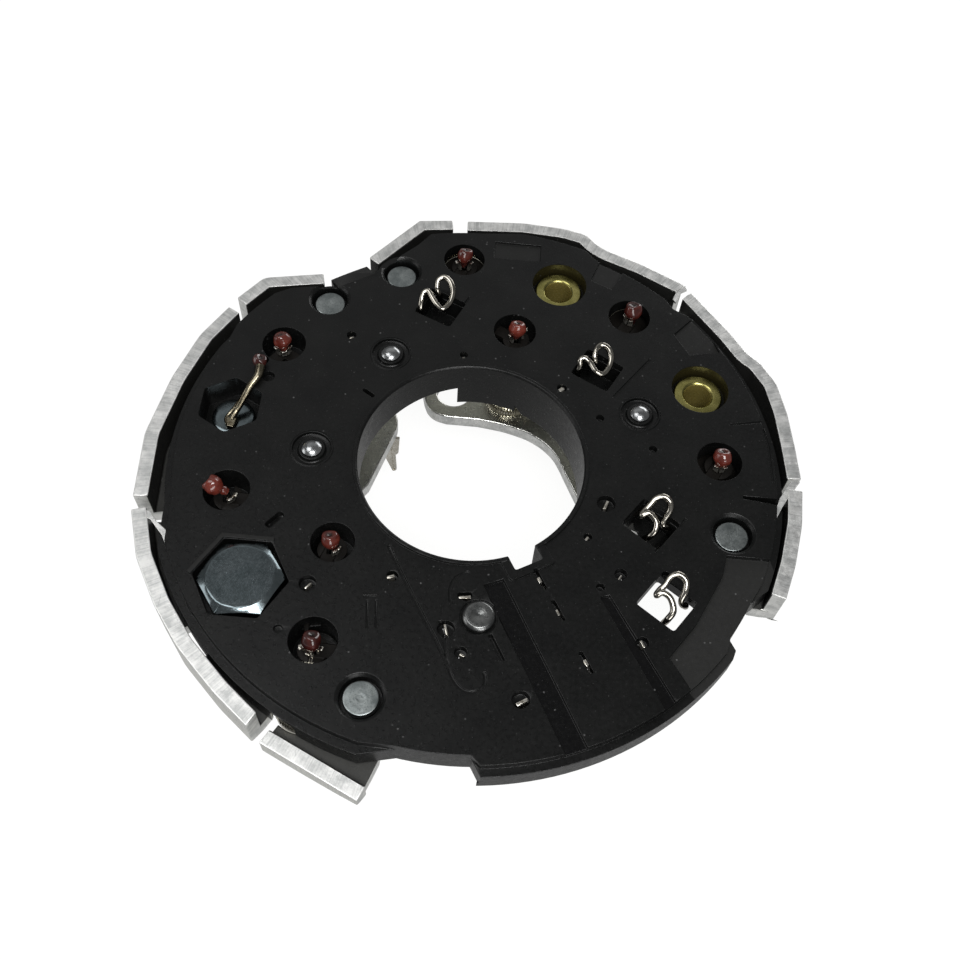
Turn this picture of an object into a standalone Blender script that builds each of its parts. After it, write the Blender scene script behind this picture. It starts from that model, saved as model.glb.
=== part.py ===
"""Alternator rectifier: moulded terminal board over two aluminium heat sinks with press-fit diodes.

Frame: the shaft axis is Z, z = 0 is the top face of the terminal board, the heat sinks hang below it.
Sizes are written in millimetres and turned into metres where a mesh is made.
"""
import math

import bmesh
import bpy
from mathutils import Matrix, Vector

MM = 0.001
GAP = 0.3            # clearance left between neighbouring pieces
CLOSED = "MANIFOLD"  # Boolean solver for the pieces that the exact one leaves open

# levels along the shaft axis
WALL = 2.95          # thickness of the board's top wall
BOSS_END = -7.6      # underside of the board's bosses and skirt
SINK_TOP = -8.0      # outer heat sink, upper face of its floor
SINK_T = 3.6
SINK_BOT = SINK_TOP - SINK_T
RIM_TOP = -0.5       # top of the turned-up rim
LOW_RIM_TOP = -5.5   # the one rim segment that stands lower
INNER_TOP = -25.5    # inner heat sink, upper face
INNER_T = 3.8
INNER_BOT = INNER_TOP - INNER_T
COLLAR_END = -13.3   # long part of the collar round the shaft hole
COLLAR_STEP = -9.3   # short part of the collar
SKIRT_DEEP = -9.0    # skirt where no heat sink lies below it

# plan sizes
HOLE_R = 25.0
COLLAR_WALL = 2.0
COLLAR_R = HOLE_R + COLLAR_WALL
SINK_BORE_R = COLLAR_R + 2.6   # outer heat sink, bore round the collar
EDGE_R = 67.6        # edge of the board's top face at the right
LEDGE = 1.7          # how far the lower ledge stands out past the top face
RIM_T = 3.2          # thickness of the rim wall
INNER_R = 28.4       # inner heat sink, bore
INNER_OUT = 64.0     # inner heat sink, outside

# diodes: knurled cup, lead wire, lacquered weld
CUP_R = 6.4
CUP_PROUD = 3.3
LEAD_R = 0.75
SOCKET_R = LEAD_R + GAP
LEAD_TOP = 1.6
WINDOW_R = 5.0

# (name, window x, y, lead x, y, sits in the inner heat sink)
DIODES = [
    ("1", -46.0, 27.4, -46.4, 27.8, True),
    ("2", -6.3, 58.5, -6.2, 59.0, False),
    ("3", -51.6, -13.0, -51.7, -13.0, True),
    ("4", -27.3, -23.3, -27.6, -23.4, True),
    ("5", -28.0, -45.5, -28.2, -46.2, False),
    ("6", 7.5, 37.3, 8.0, 37.4, True),
    ("7", 34.8, 44.7, 35.6, 46.0, False),
    ("8", 55.2, 5.3, 55.7, 5.9, False),
]
# the cup of diode 5 stands outboard of its window, its lead is cranked inward
CRANKED = "5"
CRANK_CUP = (-28.8, -55.6)
BENT = "3"

# stator wire windows: centre x, y, turn of the window, turn of the clip
CLIPS = [
    ("1", -10.8, 42.6, -24.0, 14.0),
    ("2", 27.4, 27.8, -28.0, 4.0),
    ("3", 39.7, -12.2, -36.5, 0.0),
    ("4", 42.8, -30.7, -36.0, 0.0),
]
CLIP_W, CLIP_H = 9.6, 8.4
CLIP_WIRE_R = 0.75

BUSHES = [("1", 17.6, 53.0), ("2", 51.4, 24.9)]
BUSH_FLANGE_R = 5.7
BUSH_R = 4.5
BUSH_BORE_R = 3.15
BUSH_TOP = -2.5

STUD_B = (-44.8, -33.3)
HEX_AF = 16.0
HEX_TOP = 1.6
HEX_H = 6.0
SHANK_R = 4.95
SHANK_END = -52.0
NUT_H = 6.0

STUD_W = (-55.1, 9.2)
STUD_W_HEAD_R = 4.85
STUD_W_TOP = -4.7
STUD_W_R = 2.5
STUD_W_END = -38.0

# flat rivets: name, x, y, z of the head, reaches through both heat sinks
RIVETS = [
    ("1", -37.5, 42.3, -1.9, True),
    ("2", -21.3, 52.8, -1.9, True),
    ("3", -17.1, -56.4, -0.7, False),
    ("4", 57.4, -12.8, -1.4, False),
]
RIVET_HEAD_R = 3.6
RIVET_HEAD_H = 1.6
RIVET_R = 2.0
DOMES = [("1", -21.0, 27.3), ("2", -35.2, -0.7), ("3", 37.3, 16.3)]
DOME_R = 2.2
PIN_R = COLLAR_R + 10.8   # how far the contact pin stands from the shaft axis
PIN_TURN = -83.2
PIN_HEAD_R = 3.4

# locating pits in the top wall, metal shows at the bottom of those over a strip
PITS = [
    (-30.8, 31.8, 1.1), (-4.0, 28.8, 0.9), (19.3, 21.7, 1.1), (28.3, 14.2, 0.9),
    (30.0, -8.2, 2.0), (26.2, -16.8, 0.9), (33.3, -25.0, 1.3), (37.8, -40.0, 1.3), (29.1, -28.4, 0.9), (42.7, -24.3, 0.9),
    (1.6, -33.2, 1.0), (-1.9, -40.7, 1.8),
    (14.0, -54.2, 1.8), (1.5, -45.5, 1.3), (-14.0, -30.0, 1.2), (-31.0, -33.3, 1.8),
]
# narrow slits: x, y, length, direction
SLITS = [
    (16.5, -27.8, 5.0, -60.0), (20.5, -34.5, 5.0, -60.0), (26.5, -45.3, 5.0, -60.0),
    (8.5, -43.8, 6.2, -61.0), (-24.7, 15.6, 3.2, -34.0), (-40.2, -19.2, 4.2, 52.0),
    (40.3, 7.0, 2.6, 20.0),
]
SLIT_W = 0.9


# Helpers.
def polar(r, a, cx=0.0, cy=0.0):
    """Point at radius r and angle a in degrees."""
    return (cx + r * math.cos(math.radians(a)), cy + r * math.sin(math.radians(a)))


def arc(r, a0, a1, cx=0.0, cy=0.0, step=6.0):
    """Points along an arc, ends included."""
    n = max(1, round(abs(a1 - a0) / step))
    return [polar(r, a0 + (a1 - a0) * i / n, cx, cy) for i in range(n + 1)]


def circle(cx, cy, r, n=24):
    return [polar(r, 360.0 * i / n, cx, cy) for i in range(n)]


def rectangle(cx, cy, w, h, turn=0.0):
    """Rectangle w by h, its long side turned by an angle in degrees."""
    c = math.cos(math.radians(turn))
    s = math.sin(math.radians(turn))
    corners = [(-w / 2, -h / 2), (w / 2, -h / 2), (w / 2, h / 2), (-w / 2, h / 2)]
    return [(cx + x * c - y * s, cy + x * s + y * c) for x, y in corners]


def hexagon(cx, cy, across_flats, turn=0.0):
    r = across_flats / math.sqrt(3.0)
    return [polar(r, turn + 60.0 * i, cx, cy) for i in range(6)]


def inset(points, amount):
    """Moves every point toward the shaft axis."""
    out = []
    for x, y in points:
        r = math.hypot(x, y)
        out.append((x * (r - amount) / r, y * (r - amount) / r))
    return out


def ribbon(path, width):
    """Outline of a strip of even width along a path, with mitred corners."""
    left, right = [], []
    for i, p in enumerate(path):
        a = path[max(i - 1, 0)]
        b = path[min(i + 1, len(path) - 1)]
        d1 = Vector((p[0] - a[0], p[1] - a[1]))
        d2 = Vector((b[0] - p[0], b[1] - p[1]))
        d1 = d1.normalized() if d1.length > 0 else d2.normalized()
        d2 = d2.normalized() if d2.length > 0 else d1
        n1 = Vector((-d1.y, d1.x))
        n2 = Vector((-d2.y, d2.x))
        m = (n1 + n2).normalized()
        k = width / 2 / max(m.dot(n1), 0.4)
        left.append((p[0] + m.x * k, p[1] + m.y * k))
        right.append((p[0] - m.x * k, p[1] - m.y * k))
    return left + right[::-1]


def link(obj, collection):
    for c in list(obj.users_collection):
        c.objects.unlink(obj)
    collection.objects.link(obj)


def settle(obj):
    """Replaces an object's data with its evaluated mesh."""
    bpy.context.view_layer.update()
    deps = bpy.context.evaluated_depsgraph_get()
    mesh = bpy.data.meshes.new_from_object(obj.evaluated_get(deps))
    return mesh


def prism(name, outlines, z0, z1):
    """Flat outline (the first one) with holes (the others), raised from z0 to z1."""
    curve = bpy.data.curves.new(name + "_outline", "CURVE")
    curve.dimensions = "2D"
    curve.fill_mode = "BOTH"
    curve.extrude = (z1 - z0) / 2 * MM
    for points in outlines:
        spline = curve.splines.new("POLY")
        spline.points.add(len(points) - 1)
        for p, (x, y) in zip(spline.points, points):
            p.co = (x * MM, y * MM, 0.0, 1.0)
        spline.use_cyclic_u = True
    guide = bpy.data.objects.new(name + "_guide", curve)
    guide.location.z = (z0 + z1) / 2 * MM
    PARTS.objects.link(guide)
    mesh = settle(guide)
    mesh.transform(guide.matrix_world)
    bpy.data.objects.remove(guide)
    bpy.data.curves.remove(curve)
    bm = bmesh.new()
    bm.from_mesh(mesh)
    bmesh.ops.remove_doubles(bm, verts=bm.verts, dist=1e-6)
    bmesh.ops.recalc_face_normals(bm, faces=bm.faces)
    bm.to_mesh(mesh)
    bm.free()
    obj = bpy.data.objects.new(name, mesh)
    PARTS.objects.link(obj)
    return obj


def turned(name, profile, cx=0.0, cy=0.0, steps=24, closed=False):
    """Turned shape: a profile of (radius, z), down its outer side, spun round the vertical at cx, cy."""
    mesh = bpy.data.meshes.new(name + "_profile")
    bm = bmesh.new()
    verts = [bm.verts.new((r * MM, 0.0, z * MM)) for r, z in profile]
    for a, b in zip(verts, verts[1:]):
        bm.edges.new((a, b))
    if closed:
        bm.edges.new((verts[-1], verts[0]))
    bm.to_mesh(mesh)
    bm.free()
    obj = bpy.data.objects.new(name, mesh)
    PARTS.objects.link(obj)
    screw = obj.modifiers.new("spin", "SCREW")
    screw.steps = steps
    screw.render_steps = steps
    screw.use_merge_vertices = True
    screw.merge_threshold = 0.00001
    spun = settle(obj)
    obj.modifiers.clear()
    obj.data = spun
    bpy.data.meshes.remove(mesh)
    bm = bmesh.new()
    bm.from_mesh(spun)
    bmesh.ops.remove_doubles(bm, verts=bm.verts, dist=1e-6)
    bmesh.ops.recalc_face_normals(bm, faces=bm.faces)
    bm.to_mesh(spun)
    bm.free()
    spun.transform(Matrix.Translation((cx * MM, cy * MM, 0.0)))
    return obj


def drum(name, cx, cy, r, z0, z1, sides=24):
    """Plain upright cylinder."""
    bpy.ops.mesh.primitive_cylinder_add(
        vertices=sides, radius=r * MM, depth=(z1 - z0) * MM, location=(cx * MM, cy * MM, (z0 + z1) / 2 * MM))
    obj = bpy.context.object
    obj.name = name
    obj.data.transform(obj.matrix_world)
    obj.matrix_world = Matrix.Identity(4)
    link(obj, PARTS)
    return obj


def wire(name, points, r, resolution=2):
    """Round wire along a path of (x, y, z), as a mesh."""
    curve = bpy.data.curves.new(name + "_path", "CURVE")
    curve.dimensions = "3D"
    curve.bevel_depth = r * MM
    curve.bevel_resolution = resolution
    curve.use_fill_caps = True
    spline = curve.splines.new("POLY")
    spline.points.add(len(points) - 1)
    for p, (x, y, z) in zip(spline.points, points):
        p.co = (x * MM, y * MM, z * MM, 1.0)
    guide = bpy.data.objects.new(name + "_guide", curve)
    PARTS.objects.link(guide)
    mesh = settle(guide)
    bpy.data.objects.remove(guide)
    bpy.data.curves.remove(curve)
    bm = bmesh.new()
    bm.from_mesh(mesh)
    bmesh.ops.remove_doubles(bm, verts=bm.verts, dist=1e-6)
    bmesh.ops.recalc_face_normals(bm, faces=bm.faces)
    bm.to_mesh(mesh)
    bm.free()
    obj = bpy.data.objects.new(name, mesh)
    PARTS.objects.link(obj)
    return obj


def smooth_path(points, per_span):
    """Points of a smooth curve through the given points."""
    out = []
    pts = [Vector(p) for p in points]
    for i in range(len(pts) - 1):
        p0 = pts[max(i - 1, 0)]
        p1 = pts[i]
        p2 = pts[i + 1]
        p3 = pts[min(i + 2, len(pts) - 1)]
        for k in range(per_span):
            t = k / per_span
            out.append(0.5 * (2 * p1 + (p2 - p0) * t + (2 * p0 - 5 * p1 + 4 * p2 - p3) * t * t
                              + (3 * p1 - p0 - 3 * p2 + p3) * t ** 3))
    out.append(pts[-1])
    return [tuple(p) for p in out]


def combine(target, tool, operation="UNION", solver="EXACT"):
    """Boolean of two solids, applied at once."""
    mod = target.modifiers.new("combine", "BOOLEAN")
    mod.operation = operation
    mod.solver = solver
    mod.object = tool
    mesh = settle(target)
    target.modifiers.clear()
    old = target.data
    target.data = mesh
    bpy.data.meshes.remove(old)
    bpy.data.objects.remove(tool)
    return target


def gather(name, tools):
    """Joins separate cutters, which don't touch each other, into one hidden cutter."""
    bm = bmesh.new()
    for tool in tools:
        bm.from_mesh(tool.data)
    mesh = bpy.data.meshes.new(name)
    bm.to_mesh(mesh)
    bm.free()
    for tool in tools:
        bpy.data.objects.remove(tool)
    obj = bpy.data.objects.new(name, mesh)
    CUTTERS.objects.link(obj)
    obj.hide_render = True
    obj.display_type = "WIRE"
    return obj


def cut(target, name, tools, solver="EXACT"):
    """Cuts the tools out of the target with a Boolean modifier that stays on it."""
    mod = target.modifiers.new(name, "BOOLEAN")
    mod.operation = "DIFFERENCE"
    mod.solver = solver
    mod.object = gather(name, tools)


def merge_flats(obj):
    """Merges the small faces that the Booleans leave on flat areas."""
    mod = obj.modifiers.new("flats", "DECIMATE")
    mod.decimate_type = "DISSOLVE"
    mod.angle_limit = math.radians(0.4)


def stadium(ax, ay, bx, by, r):
    """Slot outline with round ends at a and b."""
    turn = math.degrees(math.atan2(by - ay, bx - ax))
    return arc(r, turn + 90, turn + 270, ax, ay, 22.5) + arc(r, turn - 90, turn + 90, bx, by, 22.5)


def finish(obj, material, angle=32.0):
    """Gives the piece its material and smooth shading with crisp edges."""
    obj.data.materials.clear()
    obj.data.materials.append(material)
    obj.data.shade_smooth()
    obj.data.set_sharp_from_angle(angle=math.radians(angle))
    link(obj, PARTS)
    return obj


def material(name, color, roughness, metallic):
    mat = bpy.data.materials.new(name)
    mat.use_nodes = True
    shader = mat.node_tree.nodes["Principled BSDF"]
    shader.inputs["Base Color"].default_value = (*color, 1.0)
    shader.inputs["Roughness"].default_value = roughness
    shader.inputs["Metallic"].default_value = metallic
    mat.diffuse_color = (*color, 1.0)
    return mat


# Scene.
for old in list(bpy.data.objects):
    bpy.data.objects.remove(old)

PARTS = bpy.data.collections.new("alternator_rectifier")
CUTTERS = bpy.data.collections.new("cutters")
bpy.context.scene.collection.children.link(PARTS)
bpy.context.scene.collection.children.link(CUTTERS)

BLACK = material("black_moulding", (0.012, 0.012, 0.013), 0.42, 0.0)
ALUMINIUM = material("raw_aluminium", (0.62, 0.63, 0.63), 0.38, 1.0)
CUP = material("plated_copper_cup", (0.36, 0.33, 0.29), 0.35, 1.0)
TINNED = material("tinned_wire", (0.68, 0.65, 0.58), 0.24, 1.0)
LACQUER = material("red_lacquer", (0.23, 0.055, 0.045), 0.22, 0.0)
STRIP = material("tinned_strip", (0.62, 0.60, 0.55), 0.28, 1.0)
ZINC = material("zinc_plated_steel", (0.33, 0.37, 0.40), 0.3, 1.0)
RIVET = material("rivet_steel", (0.34, 0.36, 0.37), 0.36, 1.0)
YELLOW = material("yellow_chromate_steel", (0.47, 0.42, 0.10), 0.34, 1.0)
SPACER = material("insulating_plastic", (0.03, 0.03, 0.03), 0.5, 0.0)


# Terminal board.
# edge of the top face, counter-clockwise: arcs (radius, from, to, width of the ledge outside it)
EDGE = [
    (67.0, -33.3, -25.0, 0.0),
    (EDGE_R, -21.0, 43.5, LEDGE),
    (66.5, 46.7, 46.7, 0.0),
    (67.3, 49.5, 66.5, 0.0),
    (69.3, 70.0, 84.0, 0.0),
    (67.9, 92.0, 103.0, 0.0),
    (64.6, 106.5, 106.5, 0.6),
    (62.3, 110.5, 110.5, 1.0),
    (60.0, 114.5, 114.5, 1.2),
    (59.0, 117.8, 117.8, 0.6),
    (58.8, 118.8, 127.6, 4.2),
    (59.0, 128.2, 128.2, 0.9),
    (60.2, 130.0, 130.0, 0.6),
    (62.0, 132.5, 132.5, 0.6),
    (64.9, 136.5, 136.5, 0.0),
    (66.2, 140.0, 151.0, 0.0),
    (64.9, 156.0, 194.0, LEDGE),
    (67.4, 203.0, 256.0, 1.9),
    (66.2, 262.0, 274.5, 0.0),
    (68.2, 276.0, 324.0, LEDGE),
    (67.6, 325.7, 325.7, LEDGE),
]


def board_edge(ledge):
    points = []
    for r, a0, a1, width in EDGE:
        if a0 == a1:
            points.append(polar(r + ledge * width, a0))
        else:
            points += arc(r + ledge * width, a0, a1)
    return points


def terminal_board():
    top = board_edge(0.0)
    low = board_edge(1.0)
    windows = [circle(x, y, WINDOW_R if n != "4" else 4.65, 18) for n, x, y, _, _, _ in DIODES]
    windows += [rectangle(x, y, CLIP_W, CLIP_H, turn) for _, x, y, turn, _ in CLIPS]
    pits = [circle(x, y, r, 8) for x, y, r in PITS]
    slits = [rectangle(x, y, length, SLIT_W, turn) for x, y, length, turn in SLITS]
    body = prism("terminal_board", [top, circle(0, 0, HOLE_R - 1.0, 24)] + windows + pits + slits, -WALL, 0.0)
    # ledge and skirt, a ring that overlaps the top wall from below
    inside = inset(top[::2], 3.2)
    ring = prism("skirt", [low, inside], BOSS_END, -1.9)
    combine(body, ring, "UNION", CLOSED)
    # deeper skirt over the sector that has no heat sink below it
    deep = arc(69.5, -84.5, -36.5) + arc(65.6, -36.5, -83.0)
    combine(body, prism("deep_skirt", [deep], SKIRT_DEEP, BOSS_END + 0.8), "UNION", CLOSED)
    near = arc(65.8, -99.5, -82.5) + arc(63.4, -82.5, -99.5)
    combine(body, prism("near_skirt", [near], SKIRT_DEEP, BOSS_END + 0.8), "UNION", CLOSED)
    # collar round the shaft hole, with a lip on the top face and a thicker wall round the keyway
    collar = prism("collar", [circle(0, 0, COLLAR_R, 40), circle(0, 0, HOLE_R - 1.0, 20)], COLLAR_END, -0.6)
    combine(body, collar, "UNION", CLOSED)
    lip = prism("lip", [circle(0, 0, HOLE_R + 1.1, 40), circle(0, 0, HOLE_R - 1.0, 20)], -1.2, 0.55)
    combine(body, lip, "UNION", CLOSED)
    key_x, key_y = polar(HOLE_R + 2.6, -60.4)
    combine(body, prism("key_wall", [rectangle(key_x, key_y, 5.6, 10.4, -60.4)], COLLAR_END + 0.4, 0.5),
            "UNION", CLOSED)
    # bosses under the top wall
    bosses = [(x, y, 5.0 if n == "1" else 6.0) for n, x, y, _, _ in RIVETS]
    bosses += [(x, y, 8.3) for _, x, y in BUSHES]
    bosses += [(x, y, 3.0) for _, x, y in DOMES]
    bosses += [(*STUD_B, 11.8), (*STUD_W, 9.2), (*polar(PIN_R, PIN_TURN), 3.2)]
    for x, y, r in bosses:
        combine(body, drum("boss", x, y, r, BOSS_END + 0.02 * (r > 9), -1.2, 14), "UNION", CLOSED)
    # cuts: shaft hole, keyway and the short side of the collar
    bore = drum("bore", 0, 0, HOLE_R, -20, 5, 48)
    combine(bore, prism("keyway", [rectangle(*polar(HOLE_R + 0.4, -60.4), 6.2, 6.4, -60.4)], -19, 4), "UNION", CLOSED)
    cut(body, "shaft_hole", [bore], CLOSED)
    cut(body, "collar_step", [prism("s", [[(-40, -40), (-5.2, -40), (-5.2, 40), (-40, 40)]], -20, COLLAR_STEP)],
        CLOSED)
    # pockets and through holes
    deep_cuts = []
    for n, x, y, z, both in RIVETS:
        seat = z - RIVET_HEAD_H - GAP
        deep_cuts.append(turned("r", [(0, 4), (4.4, 4), (4.4, seat), (RIVET_R + GAP, seat),
                                      (RIVET_R + GAP, -9), (0, -9)], x, y, 14))
    for n, x, y in BUSHES:
        seat = BUSH_TOP - 1.1 - GAP
        deep_cuts.append(turned("b", [(0, 4), (6.5, 4), (6.5, seat), (BUSH_R + GAP, seat),
                                      (BUSH_R + GAP, -9), (0, -9)], x, y, 16))
    for n, x, y in DOMES:
        deep_cuts.append(turned("d", [(2.9, 4), (4.3, 4), (4.3, -0.8), (2.9, -0.8)], x, y, 16, closed=True))
        deep_cuts.append(drum("d", x, y, 1.5 + GAP, -9, 4, 10))
    deep_cuts.append(turned("p", [(0, 4), (3.9, 4), (3.9, -0.35), (1.9 + GAP, -0.35),
                                  (1.9 + GAP, -9), (0, -9)], *polar(PIN_R, PIN_TURN), 16))
    cut(body, "seats", deep_cuts, CLOSED)
    hex_seat = HEX_TOP - HEX_H - GAP
    pocket = prism("hex", [hexagon(*STUD_B, HEX_AF + 2.2)], hex_seat, 4)
    combine(pocket, drum("hex_bore", *STUD_B, SHANK_R + GAP + 0.1, -9, 0, 16), "UNION", CLOSED)
    w_seat = STUD_W_TOP - 1.5 - GAP
    w_pocket = prism("w", [hexagon(*STUD_W, 13.0, 30.0)], w_seat, 4)
    combine(w_pocket, drum("w_bore", *STUD_W, STUD_W_R + GAP, -9, 0, 16), "UNION", CLOSED)
    lead_hole = drum("w_hole", -50.1, 22.3, 1.35, -5, 4, 12)
    cut(body, "hex_pockets", [pocket, w_pocket, lead_hole], CLOSED)
    # room under the skirt for the cups that stand near the edge
    rooms = [(lx, ly) for n, _, _, lx, ly, _ in DIODES if n in ("2", "7")] + [CRANK_CUP]
    cut(body, "cup_room", [drum("room", x, y, CUP_R + 0.8, -9, -WALL, 16) for x, y in rooms], CLOSED)
    # shallow steps, grooves and lowered flats of the top face
    shallow = [
        prism("g1", [[(5.6, -28.9), (8.2, -29.6), (27.6, -64.0), (29.4, -74.0), (20, -74.0), (23.6, -64.4)]], -1.0, 4),
        prism("g2", [[(29.0, -30.6), (31.0, -30.0), (44.4, -52.0), (50, -62.0), (45, -64.0), (42.2, -53.6)]], -0.8, 4),
        prism("g3", [ribbon([(-16, -22), (-10, -34), (-5, -43), (-0.6, -50.6)], 0.7)], -0.6, 4),
        prism("f1", [[(43.2, -42.6), (48.4, -38.0), (52.6, -28.0), (56.0, -20.5), (66.5, -23.5), (76, -30),
                      (64, -50), (50.0, -53.0)]], -1.1, 4),
        prism("f2", [arc(63.3, 191, 266) + arc(80, 266, 191)], -1.0, 4),
        prism("f3", [[(1, 60.5), (12.5, 60.5), (12.5, 65.2), (1, 65.2)]], -0.6, 4),
        prism("f4", [[(27.0, 54.5), (31.5, 51.8), (35.2, 58.6), (30.2, 60.8)]], -0.6, 4),
        prism("f5", [[(46.6, 34.6), (53.2, 32.6), (57.8, 37.6), (50.6, 44.0)]], -0.6, 4),
        prism("slit", [[(60, -3.2), (72, -3.2), (72, -5.4), (60, -3.9)]], -20, 4),
    ]
    cut(body, "steps", shallow, CLOSED)
    marks = [
        prism("oblong", [stadium(4.3, -51.0, -1.0, -41.0, 3.5), stadium(4.3, -51.0, -1.0, -41.0, 2.9)], -0.45, 4),
        prism("tee", [[(-20, -34.2), (-16, -34.2), (-16, -35.0), (-17.6, -35.0), (-17.6, -42),
                       (-18.4, -42), (-18.4, -35.0), (-20, -35.0)]], -0.4, 4),
        prism("dot1", [circle(-35.3, -43.8, 0.9, 12)], -0.8, 4),
        prism("dot2", [circle(-48.0, 17.8, 1.4, 14)], -1.6, 4),
    ]
    cut(body, "marks", marks, CLOSED)
    merge_flats(body)
    finish(body, BLACK)


# Outer heat sink.
# rim segments: outer corners as (angle, radius), counter-clockwise, with the top level
RIM = [
    ([(-21.8, 73.2), (-15.0, 73.1), (-7.0, 73.3), (-0.2, 73.5)], RIM_TOP),
    ([(2.2, 73.5), (9.0, 73.6), (16.0, 74.5), (22.5, 75.4), (27.6, 74.6), (30.3, 73.2), (36.0, 73.2),
      (47.4, 74.2)], RIM_TOP),
    ([(49.6, 74.8), (58.7, 73.2), (66.0, 72.3), (68.6, 72.9), (71.4, 74.9), (76.0, 74.7), (84.0, 73.6),
      (95.2, 72.4)], RIM_TOP),
    ([(98.2, 72.7), (104.8, 73.3), (117.6, 64.3)], RIM_TOP),
    ([(128.6, 64.5), (138.8, 72.2), (145.8, 72.0)], RIM_TOP),
    ([(148.4, 71.6), (156.7, 71.9), (167.5, 71.6), (180.0, 72.4), (192.8, 73.0)], RIM_TOP),
    ([(195.4, 73.4), (204.4, 73.7), (213.7, 73.4), (222.0, 73.5), (231.7, 73.7), (239.4, 74.5)], RIM_TOP),
    ([(240.9, 74.7), (258.2, 76.6)], LOW_RIM_TOP),
]
# slots between segments: angle, width
SLOTS = [(1.0, 2.2), (48.5, 2.4), (96.7, 3.4), (147.1, 2.6), (194.1, 2.6), (240.2, 1.6)]


def outer_heat_sink():
    edge = []
    for knots, _ in RIM:
        edge += inset([polar(r, a) for a, r in knots], 1.0)
    edge += [(-12.6, -66.0), (-12.2, -58.0)]
    edge += arc(SINK_BORE_R, 249.0, -14.0, step=6.0)
    edge += [(38.0, -10.2), (62.4, -26.4)]
    holes = []
    for n, x, y, lx, ly, in_inner in DIODES:
        if in_inner:
            holes.append(circle(lx, ly, 3.4, 12))
        elif n == CRANKED:
            holes.append(circle(*CRANK_CUP, CUP_R + GAP, 20))
        else:
            holes.append(circle(lx, ly, CUP_R + GAP, 20))
    for n, x, y in BUSHES:
        holes.append(circle(x, y, BUSH_R + GAP, 16))
    for n, x, y, z, both in RIVETS:
        holes.append(circle(x, y, RIVET_R + GAP, 10))
    for n, x, y in DOMES:
        holes.append(circle(x, y, 1.5 + GAP, 8))
    holes.append(circle(*STUD_B, 8.4, 20))
    holes.append(rectangle(*polar(68.6, 220.6), 1.8, 7.0, 220.6))
    holes.append(circle(*STUD_W, STUD_W_R + 1.2, 12))
    plate = prism("outer_heat_sink", [edge] + holes, SINK_BOT, SINK_TOP)
    for i, (knots, z) in enumerate(RIM):
        outer = [polar(r, a) for a, r in knots]
        centre = ribbon_inside(outer, RIM_T)
        combine(plate, prism("rim", [outer + centre[::-1]], SINK_BOT + 0.5, z + 0.001 * i))
    # the rim is turned up with a soft bend: everything below it stays inside a bowl
    bowl = [(0, 6), (84, 6), (84, -5.4)]
    bowl += [(68.5 + 9.5 * math.cos(t), -5.5 - 6.2 * math.sin(t)) for t in
             [math.radians(a) for a in (0, 30, 60, 90)]]
    bowl += [(0, -11.7)]
    combine(plate, turned("bowl", bowl, steps=48), "INTERSECT")
    slots = []
    for a, w in SLOTS:
        slots.append(prism("slot", [rectangle(*polar(75.0, a), 17.4, w, a)], -20, 5))
    cut(plate, "rim_slots", slots, CLOSED)
    merge_flats(plate)
    finish(plate, ALUMINIUM)


def ribbon_inside(points, width):
    """The same path moved inward, toward the shaft, by a width measured square to it."""
    out = []
    for i, p in enumerate(points):
        a = points[max(i - 1, 0)]
        b = points[min(i + 1, len(points) - 1)]
        d1 = Vector((p[0] - a[0], p[1] - a[1]))
        d2 = Vector((b[0] - p[0], b[1] - p[1]))
        d1 = d1.normalized() if d1.length > 0 else d2.normalized()
        d2 = d2.normalized() if d2.length > 0 else d1
        n1 = Vector((-d1.y, d1.x))
        n2 = Vector((-d2.y, d2.x))
        m = (n1 + n2).normalized()
        k = width / max(m.dot(n1), 0.6)
        out.append((p[0] + m.x * k, p[1] + m.y * k))
    return out


# Inner heat sink.
def inner_heat_sink():
    edge = arc(INNER_OUT, 8.0, 250.0)
    edge += arc(26.8, 250.0, 172.0, step=6.0)
    # straight inner side at the left, rounded corner, then the notch that opens the ring
    edge += [(-24.6, 6.5), (-20.6, 20.4), (-19.6, 24.6), (-20.4, 28.4), (-24.0, 35.0), (-20.0, 40.5)]
    edge += [(-15.4, 38.6), (-13.6, 33.4), (-12.4, 30.9), (-10.4, 29.3), (-7.6, 28.5)]
    edge += arc(INNER_R, 102.0, 8.0, step=6.0)
    holes = [circle(-6.8, 37.0, 4.4, 16)]
    for n, x, y, lx, ly, in_inner in DIODES:
        if in_inner:
            holes.append(circle(lx, ly, CUP_R + GAP, 20))
    for n, x, y in BUSHES:
        holes.append(circle(x, y, 7.0, 16))
    for n, x, y, z, both in RIVETS:
        if both:
            holes.append(circle(x, y, RIVET_R + GAP, 10))
    holes.append(circle(*STUD_B, SHANK_R + GAP + 0.1, 16))
    holes.append(circle(*STUD_W, STUD_W_R + GAP + 0.1, 12))
    plate = prism("inner_heat_sink", [edge] + holes, INNER_BOT, INNER_TOP)
    finish(plate, ALUMINIUM)


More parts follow.
